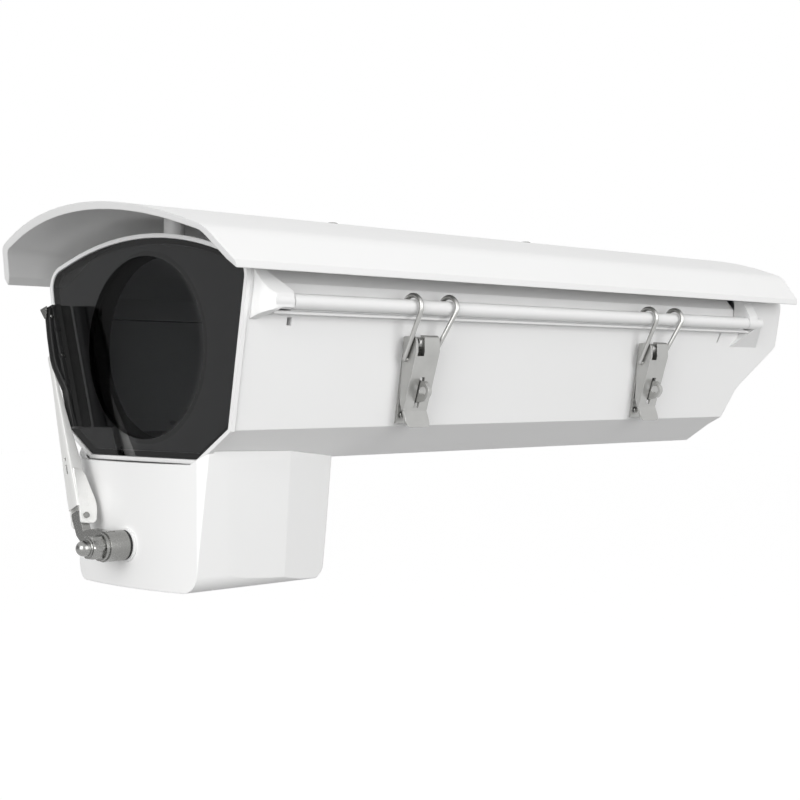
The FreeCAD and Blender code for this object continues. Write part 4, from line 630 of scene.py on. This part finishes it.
# Blade holder, gearbox and fan: black glass-filled nylon, moulded with a fine spark texture.
# The holder is a thin web between a claw channel that grips the rubber and a rib along its back,
# with three short cross ribs. It rocks on a pin through the arm's tip.
BLADE_LOW = Vector((-0.0393, -0.2194, 0.0143))
BLADE_TOP = Vector((-0.057, -0.2194, 0.0724))
BLADE_LENGTH = (BLADE_TOP - BLADE_LOW).length
WEB_HALF, CLAW_HALF = 0.0012, 0.002
RIB_THICK, RIB_END, CROSS_RIB_HALF = 0.0013, 0.001, 0.0012
blade_along = (BLADE_TOP - BLADE_LOW).normalized()
blade_across = Vector((blade_along.z, 0, -blade_along.x))


def by_blade(x, y, z):
    """A place from its distances across the blade, off its foot in y, and along it."""
    return BLADE_LOW + blade_across * x + Vector((0, y, 0)) + blade_along * z


def blade_plate(shape, outline, half):
    """Adds a plate of the holder, centred on the blade."""
    slab(shape, outline, -half, half, lambda a, b, depth: by_blade(depth, a, b))


black_nylon, tree, shader, place = new_material("moulded_black_nylon")
spark = put(tree, "ShaderNodeTexVoronoi", {"Vector": place, "Scale": 1 / 0.0007})
wear = noise(tree, place, 0.01, 4.0)
fill(tree, shader, {
    "Base Color": two_tone(tree, wear, "#141414", "#1f1f20"),
    "Roughness": 0.5,
    "Normal": grained(tree, (spark, 0), 0.2, 0.0001, Normal=rounded(tree, 0.0005, 4))})
dress(black_nylon, "fan_frame", "fan_rotor", "gearbox")

back_line = [(-0.0101, 0.0004), (-0.0108, 0.0164), (-0.0148, 0.03), (-0.0152, 0.034),
             (-0.0147, 0.045), (-0.0134, BLADE_LENGTH - 0.0012)]
shape = bmesh.new()
blade_plate(shape, [(-0.0094, 0.0004)] + back_line + [(-0.0094, BLADE_LENGTH - 0.0004)], WEB_HALF)
blade_plate(shape, [(-0.0093, 0.0), (-0.0114, 0.0), (-0.0114, BLADE_LENGTH - 0.0002),
                    (-0.0093, BLADE_LENGTH - 0.0002)], CLAW_HALF)
blade_plate(shape, back_line + [(a + RIB_THICK, b) for a, b in reversed(back_line)], CLAW_HALF)
for height, half in ((0.022, 0.0021), (0.0352, 0.00235), (0.0485, 0.00235)):
    low, high = height - CROSS_RIB_HALF, height + CROSS_RIB_HALF
    blade_plate(shape, softened([(-0.0118, low, RIB_END), (-0.0118, high, RIB_END),
                                 (-0.0092, high), (-0.0092, low)], 3), half)
piece = finished(shape, "ribbed_blade_holder", black_nylon)
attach(piece, "wiper_blade")
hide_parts("blade_holder")


# Blade clip and rivet: the clip is a small stainless pressing over the holder's top end, which
# narrows to a tongue. One turned rivet closes the holder's web under it.
CLIP_NEAR, CLIP_FAR = -0.0153, -0.0148
CLIP_HALF, TONGUE_HALF = 0.0027, 0.0005
clip_top, clip_edge, clip_tongue = (BLADE_LENGTH - drop for drop in (0.0013, 0.0018, 0.0068))
clip_line = softened([
    (-TONGUE_HALF, clip_tongue, 0.0004), (TONGUE_HALF, clip_tongue, 0.0004),
    (CLIP_HALF, clip_edge, 0.0005), (CLIP_HALF, clip_top),
    (-CLIP_HALF, clip_top), (-CLIP_HALF, clip_edge, 0.0005)], 3)
shape = bmesh.new()
slab(shape, clip_line, CLIP_NEAR, CLIP_FAR, lambda a, b, depth: by_blade(a, depth, b))
piece = finished(shape, "bent_blade_clip", turned_steel)
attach(piece, "wiper_blade")
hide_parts("blade_clip")

piece = run_tree(
    "blade_rivets", head_tree, [tuple(by_blade(0.0019, -0.0128, BLADE_LENGTH - 0.006))],
    **{"Radius": 0.0008, "Height": 0.0005, "Cross": 0.0003, "Shank": 0.0001,
       "Shank Radius": 0.0004,
       "Turn": (0.0, math.atan2(blade_across.x, blade_across.z), 0.0)})
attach(piece, "wiper_blade")


# Shaft seal: a thin black lip in a coated collar where the shaft leaves the motor's cover.
# The lip is pressed from rubber, and the collar takes the same white coat as the cover.
RING_STEPS, RING_EDGE = 64, 0.0002


def turned_ring(name, outer, inner, front, back, material):
    """A ring around the wiper's shaft with softened edges."""
    line = [(outer, back), (outer, front + RING_EDGE), (outer - RING_EDGE, front),
            (inner + RING_EDGE, front), (inner, front + RING_EDGE), (inner, back)]
    made = bmesh.new()
    rows = []
    for step in range(RING_STEPS):
        angle = 2 * math.pi * step / RING_STEPS
        rows.append([made.verts.new((radius * math.sin(angle), y, nut_z + radius * math.cos(angle)))
                     for radius, y in line])
    for step in range(RING_STEPS):
        row, after = rows[step], rows[(step + 1) % RING_STEPS]
        for index in range(len(line)):
            ahead = (index + 1) % len(line)
            made.faces.new((row[index], row[ahead], after[ahead], after[index]))
    return finished(made, name, material)


piece = turned_ring("seal_lip", 0.0068, 0.00408, -0.22985, -0.2291, rubber)
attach(piece, "housing")
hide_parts("shaft_seal")
piece = turned_ring("seal_collar", 0.0079, 0.00645, -0.2291, -0.2275, powder_coat)
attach(piece, "housing")


# Cable glands, terminal block and board pillars: light grey nylon, moulded and left as it comes.
# Its surface is waxy and satin, and the grey wavers a little.
grey_nylon, tree, shader, place = new_material("moulded_grey_nylon")
wax = noise(tree, place, 0.006, 3.0)
fill(tree, shader, {
    "Base Color": two_tone(tree, wax, "#a2a4a6", "#b2b4b5"),
    "Roughness": 0.42,
    "Normal": grained(tree, wax, 0.05, 0.0003)})
dress(grey_nylon, "gland_bodies", "gland_nuts", "terminal_block", "board_standoffs")


# Power board: FR-4 laminate, 1.6 mm thick, with a green solder mask printed over the copper.
# The weave of the glass shows through the mask as a faint grid.
laminate, tree, shader, place = new_material("green_masked_laminate")
weave = put(tree, "ShaderNodeTexWave", {"Vector": place, "Scale": 1 / 0.0024, "Distortion": 0.6})
fill(tree, shader, {
    "Base Color": two_tone(tree, (weave, 1), "#1d5a33", "#23683c"),
    "Roughness": 0.3})
dress(laminate, "power_board")


# Tray, pillars and heater block: mill-finish aluminium, cut from sheet and bar.
# The rolling lines run along the tray, and its gloss wavers with them.
mill_aluminium, tree, shader, place = new_material("mill_finish_aluminium")
stretch = put(tree, "ShaderNodeMapping", {"Vector": place, "Scale": (1.0, 0.06, 1.0)})
rolling = noise(tree, (stretch, "Vector"), 0.0008, 3.0)
fill(tree, shader, {
    "Base Color": two_tone(tree, rolling, "#bfc1c2", "#d2d3d4"),
    "Roughness": spread(tree, rolling, 0.3, 0.48),
    "Metallic": 1.0})
dress(mill_aluminium, "camera_tray", "tray_standoffs", "heater")


# Shaft bush: sintered bronze, pressed into the cover and full of oil.
# It is a brownish gold with small dark pores.
bronze, tree, shader, place = new_material("sintered_bronze")
pores = put(tree, "ShaderNodeTexVoronoi", {"Vector": place, "Scale": 1 / 0.0009})
fill(tree, shader, {
    "Base Color": two_tone(tree, (pores, 0), "#7a5a34", "#b58b54"),
    "Roughness": 0.4,
    "Metallic": 1.0})
dress(bronze, "shaft_bush")


# Studio: a pale floor under the hanging housing, a pale surround and large soft lamps.
# The floor keeps the housing's shadow, and what the eye and the gloss see beyond it is white.
FLOOR_HEIGHT, FLOOR_REACH = -0.3, 6
WHITE = linear("#ffffff")


def seen_rays(tree):
    """The light path, and one for the rays of the eye, of gloss and of clear glass."""
    ray = put(tree, "ShaderNodeLightPath")
    seen = put(tree, "ShaderNodeMath", {0: (ray, "Is Camera Ray"), 1: (ray, "Is Glossy Ray")},
               operation="MAXIMUM")
    seen = put(tree, "ShaderNodeMath", {0: (seen, 0), 1: (ray, "Is Transmission Ray")},
               operation="MAXIMUM")
    return ray, seen


def staged(name, corners, material):
    """A flat card of the studio, which is no piece of the housing."""
    mesh = bpy.data.meshes.new(name)
    mesh.from_pydata(corners, [], [(0, 1, 2, 3)])
    mesh.materials.append(material)
    card = bpy.data.objects.new(name, mesh)
    bpy.context.collection.objects.link(card)


def surface(tree, last):
    """Links a material's output to its last node."""
    fill(tree, next(n for n in tree.nodes if n.type == "OUTPUT_MATERIAL"), {"Surface": (last, 0)})


paper, tree, shader, place = new_material("pale_studio_paper")
grain = noise(tree, place, 0.03, 3.0)
fill(tree, shader, {"Base Color": two_tone(tree, grain, "#8c8c8c", "#909090"), "Roughness": 1.0})
ray, seen = seen_rays(tree)
glow = put(tree, "ShaderNodeEmission", {"Color": WHITE, "Strength": 0.8})
none = put(tree, "ShaderNodeEmission", {"Strength": 0.0})
lift = put(tree, "ShaderNodeMixShader", {0: (seen, 0), 1: (none, 0), 2: (glow, 0)})
lifted = put(tree, "ShaderNodeAddShader", {0: (shader, 0), 1: (lift, 0)})
plain = put(tree, "ShaderNodeEmission", {"Color": WHITE, "Strength": 1.0})
surface(tree, put(tree, "ShaderNodeMixShader",
                  {0: (ray, "Is Glossy Ray"), 1: (lifted, 0), 2: (plain, 0)}))
staged("studio_floor", [(-FLOOR_REACH, -FLOOR_REACH, FLOOR_HEIGHT),
                        (FLOOR_REACH, -FLOOR_REACH, FLOOR_HEIGHT),
                        (FLOOR_REACH, FLOOR_REACH, FLOOR_HEIGHT),
                        (-FLOOR_REACH, FLOOR_REACH, FLOOR_HEIGHT)], paper)

world = bpy.data.worlds.new("white_studio")
world.use_nodes = True
world.node_tree.nodes.clear()
tree = world.node_tree
ray, seen = seen_rays(tree)
fill_light = put(tree, "ShaderNodeBackground", {"Color": WHITE, "Strength": 0.5})
white = put(tree, "ShaderNodeBackground", {"Color": WHITE, "Strength": 1.0})
mixed = put(tree, "ShaderNodeMixShader", {0: (seen, 0), 1: (fill_light, 0), 2: (white, 0)})
put(tree, "ShaderNodeOutputWorld", {"Surface": (mixed, 0)})
bpy.context.scene.world = world

# A grey flag beside the camera gives the metal and the pane something to mirror. Only glossy
# rays meet it.
grey_card, tree, shader, place = new_material("grey_card")
ray = put(tree, "ShaderNodeLightPath")
clear = put(tree, "ShaderNodeBsdfTransparent")
card = put(tree, "ShaderNodeEmission", {"Color": WHITE, "Strength": 0.4})
surface(tree, put(tree, "ShaderNodeMixShader",
                  {0: (ray, "Is Glossy Ray"), 1: (clear, 0), 2: (card, 0)}))
staged("grey_flag", [(-2.6, -0.7, -0.9), (-0.5, -2.7, -0.9), (-0.5, -2.7, 1.1),
                     (-2.6, -0.7, 1.1)], grey_card)


def soft_lamp(name, place, aim, size, watts):
    """A square soft box at a place, turned to a point."""
    light = bpy.data.lights.new(name, "AREA")
    light.shape = "SQUARE"
    light.size = size
    light.energy = watts
    lamp = bpy.data.objects.new(name, light)
    lamp.location = place
    lamp.rotation_euler = (Vector(aim) - Vector(place)).to_track_quat("-Z", "Y").to_euler()
    bpy.context.collection.objects.link(lamp)


LAMP_SIZE = 1.6
soft_lamp("front_lamp", (0.8, -2.2, 0.55), (0, -0.1, 0.05), LAMP_SIZE, 34)
soft_lamp("side_lamp", (2.4, 0.2, 0.5), (0, 0, 0.05), LAMP_SIZE, 25)

scene = bpy.context.scene
scene.view_settings.view_transform = "Standard"

# The camera stands where the photograph was taken from: a little below the sunshield, off the
# front right corner.
camera_data = bpy.data.cameras.new("photo_camera")
camera_data.sensor_width = 36.0
camera_data.lens = 71.39
camera_data.clip_start = 0.05
camera_data.clip_end = 50.0
camera = bpy.data.objects.new("photo_camera", camera_data)
camera.location = (0.59312, -0.66119, 0.036)
turn, dip = math.radians(44.05), math.radians(0.668)
look = Vector((-math.sin(turn) * math.cos(dip), math.cos(turn) * math.cos(dip), -math.sin(dip)))
camera.rotation_euler = look.to_track_quat("-Z", "Y").to_euler()
bpy.context.collection.objects.link(camera)
scene.camera = camera
